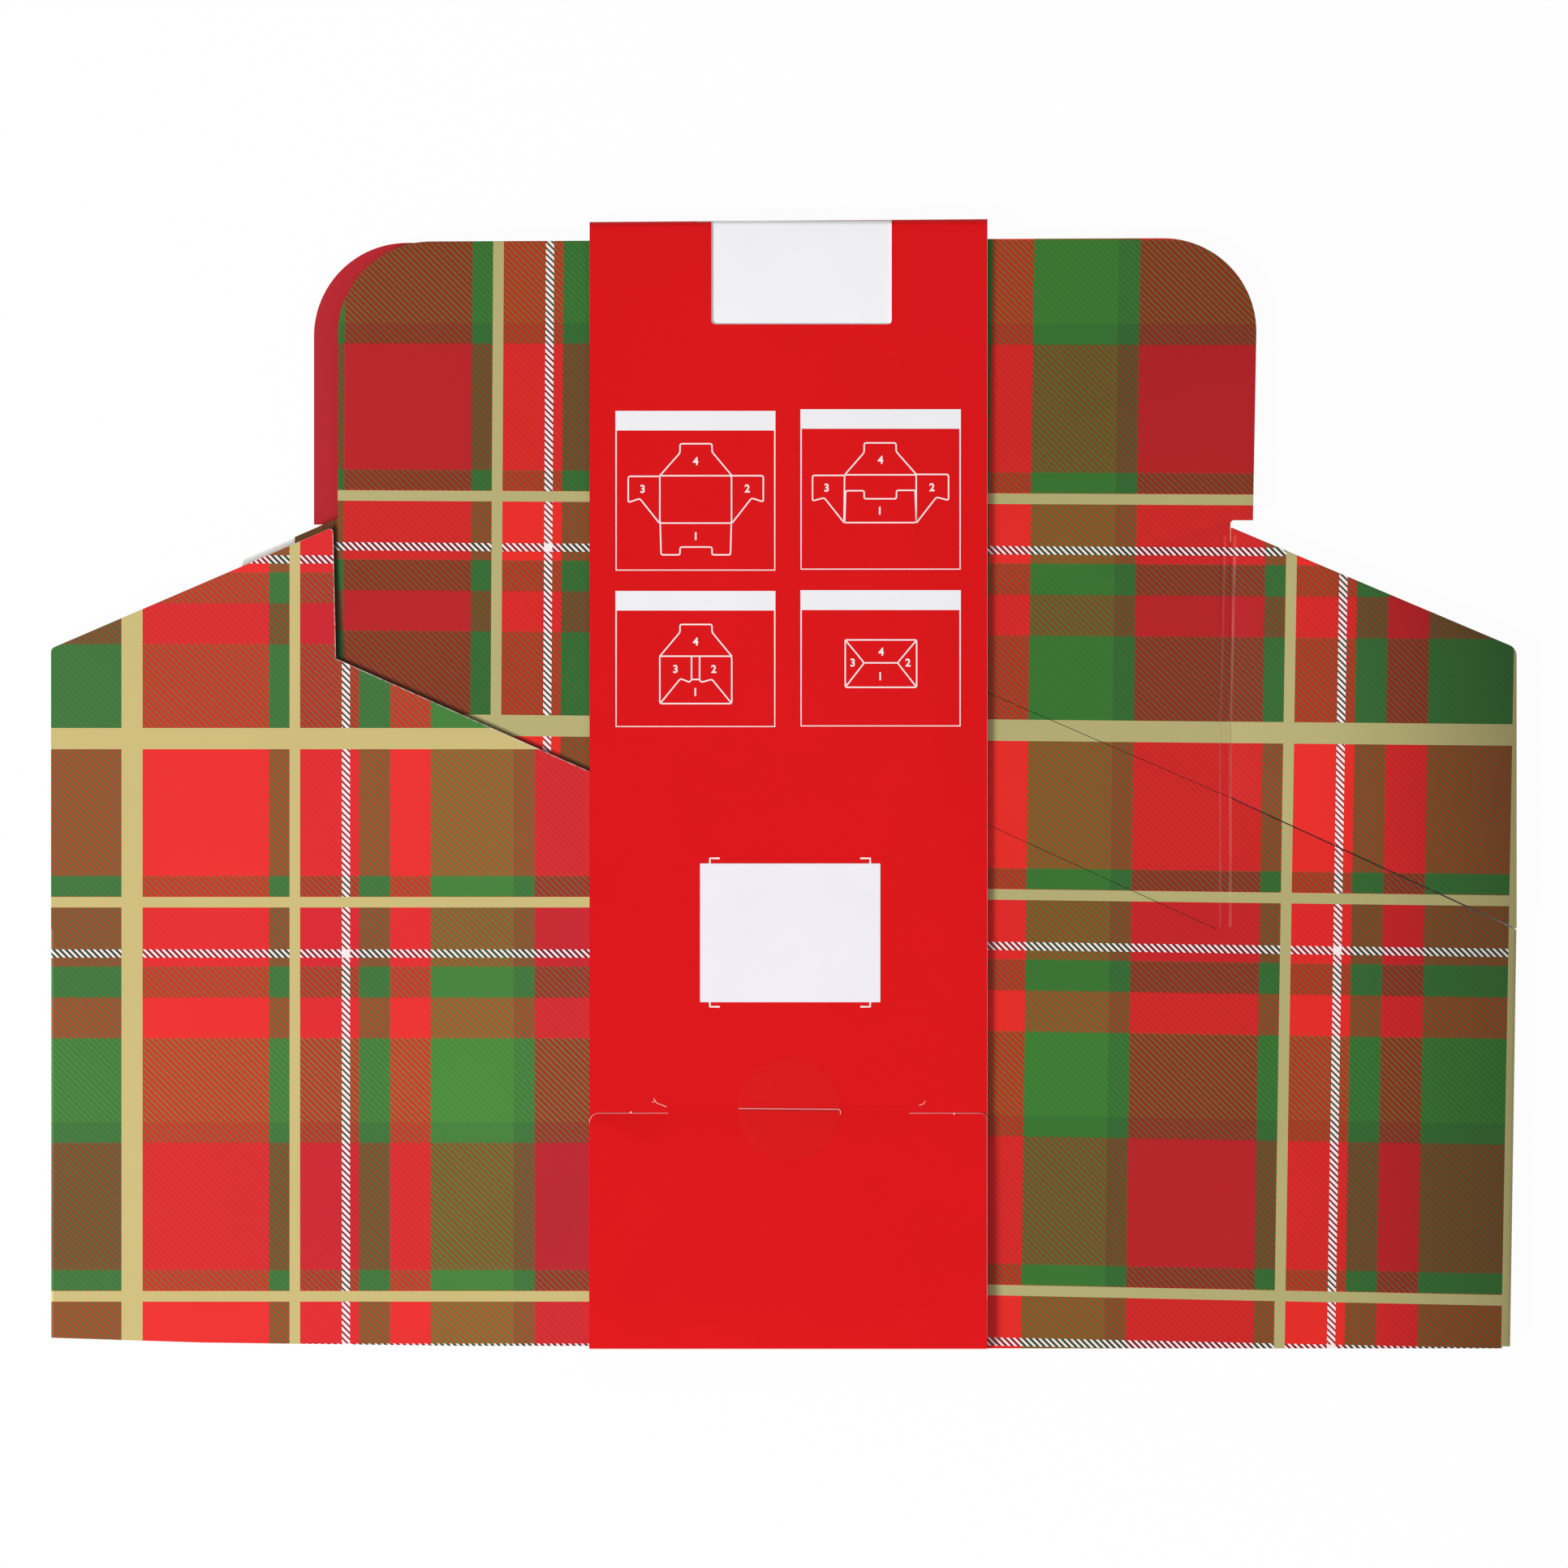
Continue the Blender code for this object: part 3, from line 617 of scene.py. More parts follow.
def choose_edges(item, *lines, test=region()):
    """Select the edges that run along one of the lines of (x, y, z), where None is anywhere."""
    def along(edge):
        return any(all(test(vertex.co) and all(want is None or abs(part - want) < SAME_PLACE
                                               for part, want in zip(vertex.co, line))
                       for vertex in edge.verts) for line in lines)
    choose(item, "edges", along)


def middle(element):
    """The middle of an edge or a face."""
    total = Vector((0.0, 0.0, 0.0))
    for vertex in element.verts:
        total += vertex.co
    return total / len(element.verts)


def is_level(edge):
    return abs(edge.verts[0].co.z - edge.verts[1].co.z) < SAME_PLACE / 10


def extrude(across, up, out):
    """Extrude what is selected along X, Y and Z."""
    bpy.ops.mesh.extrude_region_move(TRANSFORM_OT_translate={"value": (across, up, out)})


def bevel(width, steps, affect="EDGES", profile=0.5, **more):
    bpy.ops.mesh.bevel(offset_type="OFFSET", offset=width, segments=steps, profile=profile,
                       affect=affect, **more)


def cut_line(item, start, end, test=region()):
    """Cut the faces whose middle passes a test along a line."""
    choose(item, "faces", lambda face: test(middle(face)))
    run = (end - start).normalized()
    bpy.ops.mesh.bisect(plane_co=(start.x, start.y, 0.0), plane_no=(run.y, -run.x, 0.0),
                        use_fill=False, clear_inner=False, clear_outer=False, threshold=SAME_PLACE)


def cut_column(item, across, test=region()):
    cut_line(item, at(across, GRID_END), at(across, 0), test)


def cut_row(item, down, test=region()):
    cut_line(item, at(GRID_END, down), at(0, down), test)


def drop_faces(item, test):
    """Take away the faces whose middle passes a test."""
    if choose(item, "faces", lambda face: test(middle(face))):
        bpy.ops.mesh.delete(type="FACE")


def trim(item, start, end, test=region()):
    """Cut the chosen faces along a line and take away what lies to its right."""
    cut_line(item, start, end, test)
    away = Vector((end.y - start.y, start.x - end.x))
    drop_faces(item, lambda spot: test(spot) and (spot.xy - start).dot(away) > 0)


def tidy_flat(item, degrees=0.2):
    """Merge what the cuts split, so that each flat part is one face."""
    choose(item, "faces")
    bpy.ops.mesh.remove_doubles(threshold=SAME_PLACE)
    choose(item, "faces")
    bpy.ops.mesh.dissolve_limited(angle_limit=math.radians(degrees))


def round_corner(item, spot, reach, steps):
    """Round the corner nearest to a spot."""
    shape = bmesh.from_edit_mesh(item.data)
    nearest = min(shape.verts, key=lambda vertex: (vertex.co.xy - spot).length)
    place = nearest.co.copy()
    choose(item, "verts", lambda vertex: (vertex.co - place).length < SAME_PLACE / 10)
    bevel(reach, steps, "VERTICES")


def thicken_down(item, thickness):
    """Extrude a flat outline downwards into a board."""
    choose(item, "faces")
    extrude(0.0, 0.0, -thickness)
    choose(item, "faces")
    bpy.ops.mesh.normals_make_consistent(inside=False)


def face_up(item):
    """Make an open sheet's faces agree, with its highest face looking up."""
    choose(item, "faces")
    bpy.ops.mesh.normals_make_consistent(inside=False)
    highest = max(bmesh.from_edit_mesh(item.data).faces, key=lambda face: middle(face).z)
    if highest.normal.z < 0:
        bpy.ops.mesh.flip_normals()


def give_thickness(item, thickness, even=True):
    """Thicken an open sheet inwards: print outside, core at the cut edges, reverse inside."""
    pick(item)
    solid = item.modifiers.new("thickness", "SOLIDIFY")
    solid.thickness = thickness
    solid.offset = -1.0
    solid.use_even_offset = even
    solid.material_offset = 2
    solid.material_offset_rim = 1
    bpy.ops.object.modifier_apply(modifier=solid.name)


def move_corners(item, *moves):
    """Move vertices by grid steps. Each move is the steps across and down, and the vertices' region."""
    edit(item)
    for across, down, place in moves:
        if choose(item, "verts", lambda vertex: place(vertex.co)):
            bpy.ops.transform.translate(value=(across * GRID, -down * GRID, 0.0))
    leave()


def found(finish):
    """A material, given itself or by its name."""
    return bpy.data.materials[finish] if isinstance(finish, str) else finish


def dress(item, *finishes):
    for finish in finishes:
        item.data.materials.append(found(finish))


def turned_copy(item, name, finishes):
    """A copy of a front board turned over, as the rear half of the carrier lies."""
    pick(item)
    bpy.ops.object.duplicate()
    copy = bpy.context.object
    copy.name = name
    copy.data.name = name
    edit(copy)
    bpy.ops.mesh.select_all(action="SELECT")
    bpy.ops.transform.rotate(value=math.pi, orient_axis="Y",
                             center_override=(0.0, 0.0, TURN_LEVEL))
    leave()
    for index, finish in enumerate(finishes):
        copy.data.materials[index] = found(finish)
    return copy


def cut_slots(item, cuts, top):
    """Cut narrow slots into a board along the lines of (start, end, width, depth)."""
    blocks = []
    for start, end, width, depth in cuts:
        run = end - start
        deselect()
        bpy.ops.mesh.primitive_cube_add(size=1.0, location=(*((start + end) / 2), top),
                                        rotation=(0.0, 0.0, math.atan2(run.y, run.x)))
        block = bpy.context.object
        block.scale = (run.length, width, 2 * depth)
        blocks.append(settle(block, "slot"))
    cutter = join(blocks, item.name + "_cutter")
    pick(item)
    boolean = item.modifiers.new("slots", "BOOLEAN")
    boolean.operation = "DIFFERENCE"
    boolean.solver = "EXACT"
    boolean.use_self = True
    boolean.object = cutter
    bpy.ops.object.modifier_apply(modifier=boolean.name)
    bpy.data.objects.remove(cutter, do_unlink=True)


def bevel_rim(item, top, width, steps=2, test=region()):
    """Bevel the upper rim of a board."""
    def on_rim(edge):
        if any(abs(vertex.co.z - top) > SAME_PLACE for vertex in edge.verts):
            return False
        slopes = sorted(abs(face.normal.z) for face in edge.link_faces)
        return len(slopes) == 2 and slopes[0] < 0.5 < slopes[1] and test(middle(edge))
    if choose(item, "edges", on_rim):
        bevel(width, steps, profile=0.6, clamp_overlap=True)


def colour_faces(item, finishes, folded=region()):
    """Print above, a pale cut round it and the reverse below; a folded side keeps the print."""
    dress(item, *finishes)
    for face in item.data.polygons:
        up = face.normal.z
        if up > 0.985 or (up > -0.5 and folded(face.center)):
            face.material_index = 0
        else:
            face.material_index = 2 if up < -0.7 else 1


def smooth(item):
    pick(item)
    bpy.ops.object.shade_smooth_by_angle(angle=math.radians(35.0))


def soften(path, reach=0.00045, steps=3):
    """Round a path's corners with a few short steps."""
    smoothed = [path[0]]
    for before, here, after in zip(path, path[1:], path[2:]):
        back, ahead = before - here, after - here
        length = min(reach, back.length / 3, ahead.length / 3)
        start, end = here + back.normalized() * length, here + ahead.normalized() * length
        for step in range(steps + 1):
            part = step / steps
            smoothed.append(start.lerp(here, part).lerp(here.lerp(end, part), part))
    smoothed.append(path[-1])
    return smoothed


def ink_line(path, width, level, height):
    """A raised line of ink: an edge chain drawn step by step, made a curve and flattened."""
    deselect()
    bpy.ops.mesh.primitive_plane_add(size=0.001, location=(path[0].x, path[0].y, level))
    item = settle(bpy.context.object, "line")
    bpy.context.tool_settings.mesh_select_mode = (True, False, False)
    edit(item)
    bpy.ops.mesh.select_all(action="SELECT")
    bpy.ops.mesh.merge(type="CENTER")
    for before, after in zip(path, path[1:]):
        step = after - before
        bpy.ops.mesh.extrude_vertices_move(TRANSFORM_OT_translate={"value": (step.x, step.y, 0.0)})
    leave()
    bpy.ops.object.convert(target="CURVE")
    item = bpy.context.object
    item.data.bevel_depth = width / 2
    item.data.bevel_resolution = 1
    item.data.use_fill_caps = True
    bpy.ops.object.convert(target="MESH")
    item = bpy.context.object
    edit(item)
    bpy.ops.mesh.select_all(action="SELECT")
    bpy.ops.transform.resize(value=(1.0, 1.0, 2 * height / width),
                             center_override=(0.0, 0.0, level))
    leave()
    return item


def hand_over(item, body, slot, *nodes):
    """Place a finished piece on its body, and let it stand for its CAD nodes."""
    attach(item, body)
    if nodes:
        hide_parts(*nodes)


# Operators


class CARRIER_OT_walls(bpy.types.Operator):
    """Model the front wall with its shoulder, slope and fold, and turn a copy into the back wall"""
    bl_idname = "carrier.walls"
    bl_label = "Front and back wall"

    def execute(self, context):
        boards = context.scene.carrier_boards
        crease, bend = 420, 250
        peak, corner, shoulder = at(411.0, 649.5), at(414.6, 811.5), at(WALL_LEFT, 799)
        item = flat_plane("front_wall_board", (LEFT_FOLD, row(1658)),
                          (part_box("front_wall")[1][0], row(640)), FRONT_WALL_TOP)
        edit(item)
        cut_line(item, peak, corner)
        trim(item, at(SLEEVE_SIDE, 1145), corner, region(left=crease))
        trim(item, peak, shoulder, region(right=crease))
        cut_column(item, bend)
        trim(item, at(WALL_LEFT, 1648.0), at(bend, 1654.0), region(right=bend))
        trim(item, at(bend, 1654.0), at(727, 1660.0), region(left=bend))
        tidy_flat(item)
        cut_row(item, FOLD_ROW)
        round_corner(item, peak, 0.0012, 6)
        round_corner(item, shoulder, 0.0008, 6)
        upper = (LEFT_FOLD, None, FRONT_WALL_TOP)
        lower = (LEFT_FOLD, None, FRONT_WALL_TOP - FOLD_DROP)
        folded = region(top=FOLD_ROW - 1)
        choose_edges(item, upper, test=folded)
        extrude(0.0, 0.0, -FOLD_DROP)
        choose_edges(item, lower, test=folded)
        extrude(FOLD_LAP, 0.0, 0.0)
        choose_edges(item, upper, lower, test=folded)
        bevel(FOLD_ROUND, FOLD_STEPS)
        face_up(item)
        leave()
        core = plain_board_finish("board_core", boards.core)
        reverse = plain_board_finish("board_reverse", boards.reverse)
        dress(item, print_finish("tartan_front_wall", wall_tartan, boards), core, reverse,
              worn_rim_finish(boards))
        give_thickness(item, BOARD)
        printed = lambda spot: spot.x < LEFT_FOLD + FOLD_LAP or spot.y < row(1645)
        edit(item)
        bevel_rim(item, FRONT_WALL_TOP, boards.sheet_rim, 1, lambda spot: not printed(spot))
        choose(item, "faces", lambda face: face.normal.z > 0.99 and face.calc_area() > 0.004)
        bpy.ops.mesh.inset(thickness=boards.wall_rim, depth=0.0, use_even_offset=True)
        leave()
        rubbed = region(left=408, bottom=1400)
        for face in item.data.polygons:
            if printed(face.center) and face.normal.y < -0.5:
                face.material_index = 0
            elif (0.05 < face.normal.z < 0.985 and face.center.z > FRONT_WALL_TOP - BOARD
                  and not printed(face.center)):
                face.material_index = 1
            elif face.normal.z > 0.99 and face.area < 0.002 and rubbed(face.center):
                face.material_index = 3
        smooth(item)
        back = turned_copy(item, "back_wall_board", (
            print_finish("tartan_back_wall", sheet_tartan, boards, rolled_and_slit_shaded=True), core, reverse))
        move_corners(back, (-7.8, 11.0, region(left=1840, top=1640)),
                     (0.0, 3.0, region(left=1519, bottom=806)))
        hand_over(item, "carrier", "tartan_board", "front_wall")
        hand_over(back, "carrier", "tartan_board", "back_wall")
        return {"FINISHED"}


class CARRIER_OT_handle_sheets(bpy.types.Operator):
    """Model the sheet with handle, centre band and low end wall, and turn a copy into the rear one"""
    bl_idname = "carrier.handle_sheets"
    bl_label = "Handle sheets"

    def sloping_cuts(self, width):
        """The two nicked hairlines, and the score beside the crease."""
        cuts = []
        for left, top, right, bottom in ((773, 812, 1122, 812), (1122, 812, 1516, 982.7),
                                         (773, 813, 1502, 1146)):
            start, end = at(left, top), at(right, bottom)
            steps = max(2, round((end - start).length / 0.030))
            for index in range(steps):
                first = start.lerp(end, index / steps)
                last = start.lerp(end, (index + 1) / steps - 0.004)
                cuts.append((first, last, width, BOARD * 2))
        cuts.append((at(1505, 660), at(1505, 975), 0.00022, 0.00006))
        return cuts

    def execute(self, context):
        boards = context.scene.carrier_boards
        fold = 1145
        item = flat_plane("handle_sheet_board", at(363.7, 1661.5), at(SHEET_RIGHT_EDGE, HANDLE_TOP),
                          FRONT_SHEET_TOP)
        edit(item)
        cut_column(item, HANDLE_LEFT)
        trim(item, at(HANDLE_LEFT, 638.5), at(362, 662.4), region(right=HANDLE_LEFT))
        cut_column(item, CREASE)
        cut_row(item, LIP_ROW, region(left=HANDLE_LEFT))
        trim(item, at(SHEET_RIGHT_EDGE, 1146.2), at(CREASE, 983.6), region(left=CREASE, top=LIP_ROW))
        cut_row(item, FOLD_ROW)
        trim(item, at(1851.2, 1660), at(1859.0, FOLD_ROW), region(left=CREASE, top=fold))
        cut_column(item, HANDLE_RIGHT, region(bottom=LIP_ROW))
        drop_faces(item, region(left=HANDLE_RIGHT, bottom=LIP_ROW))
        cut_column(item, SLEEVE_SIDE, region(top=fold))
        drop_faces(item, region(right=SLEEVE_SIDE, top=fold))
        tidy_flat(item)
        for across in (HANDLE_LEFT, HANDLE_RIGHT):
            round_corner(item, at(across, HANDLE_TOP), HANDLE_ROUND, boards.corner_steps)
        round_corner(item, at(CREASE, LIP_ROW), 4.5 * GRID, 6)
        thicken_down(item, BOARD)
        leave()
        cut_slots(item, self.sloping_cuts(boards.slot_width), FRONT_SHEET_TOP)
        edit(item)
        bevel_rim(item, FRONT_SHEET_TOP, boards.sheet_rim, 2, region(bottom=655))
        leave()
        # The handle sheet's print carries painted shade beside the front wall and a painted shadow line
        # in the sloping cut
        finish = print_finish("tartan_handle_sheet", sheet_tartan, boards,
                              (HANDLE_CREASE, SHOULDER_CREASE), True, True)
        colour_faces(item, (finish, "board_core", "board_reverse"))
        smooth(item)
        rear = turned_copy(item, "rear_sheet_board", (
            print_finish("tartan_rear_sheet", wall_tartan, boards), "board_core",
            handle_reverse_finish(boards)))
        move_corners(rear, (-7.8, -14.5, region(right=110, top=1640)),
                     (0.0, -4.5, region(left=110, top=1640)),
                     (-0.8, 5.0, region(bottom=670)),
                     (-4.0, 0.0, region(1512, 403, 1521, 660)),
                     (0.0, 22.0, region(left=1508, top=630, bottom=672)))
        move_corners(item, (3.0, 0.0, region(left=1428, bottom=410)),
                     (-1.2, 0.0, region(left=1540, top=600, bottom=650)),
                     (1.8, 4.0, region(right=532, bottom=410)),
                     (1.5, 0.0, region(413, 600, 417, 645)))
        hand_over(item, "carrier", "tartan_board", "handle_panel_front", "centre_strap_front",
                  "right_end_wall")
        hand_over(rear, "carrier", "tartan_board", "handle_panel_rear", "centre_strap_rear",
                  "left_end_wall")
        return {"FINISHED"}


class CARRIER_OT_shoulders(bpy.types.Operator):
    """Model the right shoulder, which swings beside the handle, and turn a copy into the left one"""
    bl_idname = "carrier.shoulders"
    bl_label = "Shoulders"

    def execute(self, context):
        boards = context.scene.carrier_boards
        inner = 1517.0
        outer_corner, inner_corner = at(SHEET_RIGHT_EDGE, 798.5), at(inner, 649.5)
        item = flat_plane("right_shoulder_board", at(inner, 1145), at(SHEET_RIGHT_EDGE, 640),
                          FRONT_SHEET_TOP)
        edit(item)
        trim(item, outer_corner, inner_corner)
        trim(item, at(inner, 982.2), at(SHEET_RIGHT_EDGE, 1144.0))
        tidy_flat(item)
        round_corner(item, outer_corner, 0.0016, 6)
        round_corner(item, inner_corner, 0.0004, 4)
        thicken_down(item, BOARD)
        bevel_rim(item, FRONT_SHEET_TOP, boards.sheet_rim)
        leave()
        colour_faces(item, (print_finish("tartan_shoulder", sheet_tartan, boards,
                                         (SHOULDER_CREASE,), True), "board_core", "board_reverse"))
        smooth(item)
        left = turned_copy(item, "left_shoulder_board", ("tartan_rear_sheet", "board_core",
                                                         "board_reverse"))
        edit(left)
        for across in (297.4, 300.0, 364.0):
            cut_column(left, across)
        leave()
        move_corners(left, (0.0, -9.5, region(left=299.9, bottom=720)))
        hand_over(item, "shoulder", "tartan_board", "right_shoulder_panel")
        hand_over(left, "carrier", "tartan_board", "left_shoulder_panel")
        return {"FINISHED"}


class CARRIER_OT_inner_boards(bpy.types.Operator):
    """Give the glue flaps, base flaps and dividers inside their board and cut edges"""
    bl_idname = "carrier.inner_boards"
    bl_label = "Boards inside"

    def execute(self, context):
        boards = context.scene.carrier_boards
        for name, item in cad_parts.items():
            if not name.startswith(("glue_", "base_", "cell_")):
                continue
            low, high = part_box(name)
            finish = inner_finish("board_" + name, boards, (low[2] + high[2]) / 2)
            for slot in item.material_slots:
                slot.material = finish
        for node in ("base_flap_right", "base_flap_back"):
            flap = bpy.data.objects.new(node + "_board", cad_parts[node].data.copy())
            context.collection.objects.link(flap)
            edit(flap)
            tidy_flat(flap, 0.5)
            leave()
            move_corners(flap, (-9.5, 0.0, region(left=1855, top=1600)),
                         (-3.0, 0.0, region(left=1855, bottom=1300)))
            flap.data.materials.clear()
            dress(flap, "board_" + node)
            hand_over(flap, "carrier", "grey_board", node)
        return {"FINISHED"}


class CARRIER_OT_sleeve(bpy.types.Operator):
    """Model the sleeve as one folded band of card with its window and slit"""
    bl_idname = "carrier.sleeve"
    bl_label = "Sleeve"

    def execute(self, context):
        sleeve = context.scene.carrier_sleeve
        front_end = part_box("sleeve_front")[0][1]
        item = flat_plane("sleeve_band", (SLEEVE_LEFT, SLEEVE_LOW), (SLEEVE_RIGHT, SLEEVE_HIGH), 0.0)
        edit(item)
        low_fold, high_fold = (None, SLEEVE_LOW, 0.0), (None, SLEEVE_HIGH, 0.0)
        top_fold = (None, SLEEVE_HIGH, SLEEVE_TOP)
        for line, move in ((low_fold, (0.0, 0.0, FLAP_BASE - CLEARANCE)),
                           (high_fold, (0.0, 0.0, SLEEVE_TOP)),
                           (top_fold, (0.0, front_end - SLEEVE_HIGH, 0.0))):
            choose_edges(item, line)
            extrude(*move)
        choose_edges(item, low_fold, high_fold, top_fold)
        bevel(sleeve.fold_radius, FOLD_STEPS)
        fold_side = SLEEVE_TOP - sleeve.fold_radius * 0.95
        front = lambda spot: spot.z > fold_side and spot.y > SLEEVE_LOW + 0.001
        between = region(left=WINDOW_LEFT, right=WINDOW_RIGHT)
        opening = region(left=WINDOW_LEFT, right=WINDOW_RIGHT, bottom=WINDOW_FOOT)
        for across in (WINDOW_LEFT, WINDOW_RIGHT):
            cut_column(item, across, front)
        cut_row(item, WINDOW_FOOT, lambda spot: front(spot) and between(spot))
        drop_faces(item, lambda spot: front(spot) and opening(spot))
        tidy_flat(item)
        for across in (WINDOW_LEFT, WINDOW_RIGHT):
            round_corner(item, at(across, WINDOW_FOOT), 5 * GRID, 5)
        face_up(item)
        leave()
        dress(item, card_finish("sleeve_red_card", sleeve.red),
              card_finish("sleeve_card_core", sleeve.core),
              card_finish("sleeve_card_reverse", paint(232, 228, 222)))
        give_thickness(item, CARD)
        for vertex in item.data.vertices:
            if vertex.co.y > row(290):
                share = (SLEEVE_RIGHT - vertex.co.x) / (SLEEVE_RIGHT - SLEEVE_LEFT)
                vertex.co.y -= SLEEVE_TILT * share
        cut_slots(item, [(at(912, SLIT_ROW), at(1036, SLIT_ROW), 0.00016, CARD * 2)], SLEEVE_TOP)
        edit(item)
        bevel_rim(item, SLEEVE_TOP, 0.00009, 1, lambda spot: spot.x > SLEEVE_RIGHT - 0.0002)
        leave()
        for face in item.data.polygons:
            if face.center.x > SLEEVE_RIGHT - 0.0001:
                face.material_index = 1
        smooth(item)
        hand_over(item, "sleeve", "red_card", "sleeve_back", "sleeve_front", "sleeve_top_fold",
                  "sleeve_bottom_fold")
        return {"FINISHED"}


class CARRIER_OT_window_card(bpy.types.Operator):
    """Model the white card that shows in the sleeve's window and folds over its top"""
    bl_idname = "carrier.window_card"
    bl_label = "Window card"

    def execute(self, context):
        sleeve = context.scene.carrier_sleeve
        low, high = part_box("window_card")
        top = SLEEVE_TOP - CARD - CLEARANCE
        edge = SLEEVE_HIGH - CARD - CLEARANCE
        item = flat_plane("window_white_card", (low[0], low[1]), (high[0], edge), top)
        edit(item)
        choose_edges(item, (None, edge, None))
        extrude(0.0, 0.0, -0.0026)
        choose_edges(item, (None, edge, top))
        bevel(sleeve.fold_radius - CARD, FOLD_STEPS)
        face_up(item)
        leave()
        dress(item, card_finish("window_card_white", sleeve.window, 0.1))
        give_thickness(item, 0.0002, False)
        smooth(item)
        hand_over(item, "sleeve", "white_card", "window_card")
        return {"FINISHED"}


class CARRIER_OT_tuck_flap(bpy.types.Operator):
    """Model the tuck flap with its round shoulders, stepped edge and rolled crease"""
    bl_idname = "carrier.tuck_flap"
    bl_label = "Tuck flap"

    def sink(self, item):
        """Thin the flap towards its end, and lay the tongue's end flush on the sleeve."""
        flap_middle = FLAP_BASE + CARD / 2
        for vertex in item.data.vertices:
            down = GRID_CENTRE_Y - vertex.co.y / GRID
            across = GRID_CENTRE_X + vertex.co.x / GRID
            upper = vertex.co.z > flap_middle
            vertex.co.z -= 0.00022 * min(1.0, max(0.0, (1600 - down) / 180)) ** 1.5
            if down < 1400 and upper:
                vertex.co.z -= 0.00016
            if TONGUE_LEFT - 0.5 < across < TONGUE_RIGHT + 0.5 and down < 1400:
                vertex.co.z = SLEEVE_TOP + (0.00006 if upper else 0.00002)

    def execute(self, context):
        left, right, shoulder = 726.6, 1216.7, 1371
        item = flat_plane("tuck_flap_card", at(left, 1661.1), at(right, 1364), FLAP_BASE + CARD)
        edit(item)
        for across in (TONGUE_LEFT, TONGUE_RIGHT):
            cut_column(item, across)
        trim(item, at(GRID_END, shoulder), at(0, shoulder),
             lambda spot: not column(TONGUE_LEFT) <= spot.x <= column(TONGUE_RIGHT))
        for down in (1420, 1480, 1540, 1600):
            cut_row(item, down)
        bpy.ops.mesh.select_all(action="SELECT")
        bpy.ops.mesh.remove_doubles(threshold=SAME_PLACE)
        round_corner(item, at(left, shoulder), 12 * GRID, 8)
        round_corner(item, at(right, shoulder), 9 * GRID, 8)
        thicken_down(item, CARD)
        bevel_rim(item, FLAP_BASE + CARD, 0.00008, 1, region(bottom=1600))
        leave()
        self.sink(item)
        colour_faces(item, ("sleeve_red_card", "sleeve_card_core", "sleeve_card_reverse"),
                     lambda spot: spot.y < row(1600)
                     or column(TONGUE_LEFT + 1) < spot.x < column(TONGUE_RIGHT - 1)
                     or (spot.x < column(729) and spot.y < row(1385)))
        edit(item)
        choose(item, "edges", lambda edge: is_level(edge) and all(
            vertex.co.y < row(1660.9) for vertex in edge.verts))
        bevel(CARD * 0.45, 3)
        leave()
        smooth(item)
        hand_over(item, "tuck_flap", "red_card", "tuck_flap")
        return {"FINISHED"}


class CARRIER_OT_card_marks(bpy.types.Operator):
    """Model the slit's bent edge on the flap, the nicks and scratches round it, and painted shadow lines
    along the slit and inside the window's edges
    """
    bl_idname = "carrier.card_marks"
    bl_label = "Card marks"

    def execute(self, context):
        flap_face = SLEEVE_TOP + 0.00013
        nick_face = FLAP_BASE + CARD - 0.00038
        # Dark inks for painted shadow lines along the slit and inside the window's edges
        card_finish("slit_shade", paint(150, 14, 18))
        card_finish("window_shade", paint(112, 12, 16))
        for name, body, finish, level, width, paths in (
                ("flap_slit_edge", "tuck_flap", "sleeve_card_core", flap_face, 0.8,
                 (((911, 1365.6), (1034, 1366.6), (1036, 1368.5), (1036, 1372.5)),)),
                ("flap_slit_shade", "tuck_flap", "slit_shade", flap_face, 0.9,
                 (((912, 1367.2), (1034, 1368.2)),)),
                ("sleeve_scratches", "sleeve", "sleeve_card_core", SLEEVE_TOP, 0.7,
                 (((806, 1353), (810, 1359), (816, 1361), (822, 1363.6)),
                  ((808, 1357), (804, 1357.5)),
                  ((1133, 1361.5), (1139, 1359.5), (1140, 1356)))),
                ("sleeve_nicks", "sleeve", "white_line_ink", nick_face, 2.0,
                 (((777.4, 1370), (778.8, 1370.4)), ((1175.4, 1371.6), (1176.8, 1372)))),
                ("window_shade", "sleeve", "window_shade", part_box("window_card")[1][2], 2.6,
                 (((878.2, 274), (878.2, 396), (881, 399), (1095, 399), (1097.8, 396),
                   (1097.8, 274)),))):
            piece = join([ink_line([at(*spot) for spot in path], width * GRID, level, 0.00003)
                          for path in paths], name)
            dress(piece, finish)
            hand_over(piece, body, "red_card")
        return {"FINISHED"}


class CARRIER_OT_seal(bpy.types.Operator):
    """Model the round clear seal that lies over the tuck line"""
    bl_idname = "carrier.seal"
    bl_label = "Round seal"

    def execute(self, context):
        centre = at(972.5, SLIT_ROW)
        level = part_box("round_seal")[0][2] - 0.0003
        deselect()
        bpy.ops.mesh.primitive_cylinder_add(vertices=72, radius=context.scene.carrier_sleeve.seal_radius,
                                            depth=0.00006, location=(centre.x, centre.y, level))
        item = settle(bpy.context.object, "round_seal_film")
        edit(item)
        choose(item, "edges", is_level)
        bevel(0.00002, 2)
        leave()
        dress(item, seal_finish())
        smooth(item)
        hand_over(item, "tuck_flap", "clear_film", "round_seal")
        return {"FINISHED"}


# Printed step boxes, in grid steps: left, top, right, bottom and the header's lower edge
STEP_BOXES = ((759.0, 506.6, 956.0, 703.4, 530.7), (986.8, 504.6, 1184.2, 702.2, 528.6),
              (759.0, 728.3, 956.0, 896.0, 752.4), (986.8, 727.4, 1184.2, 895.2, 751.8))

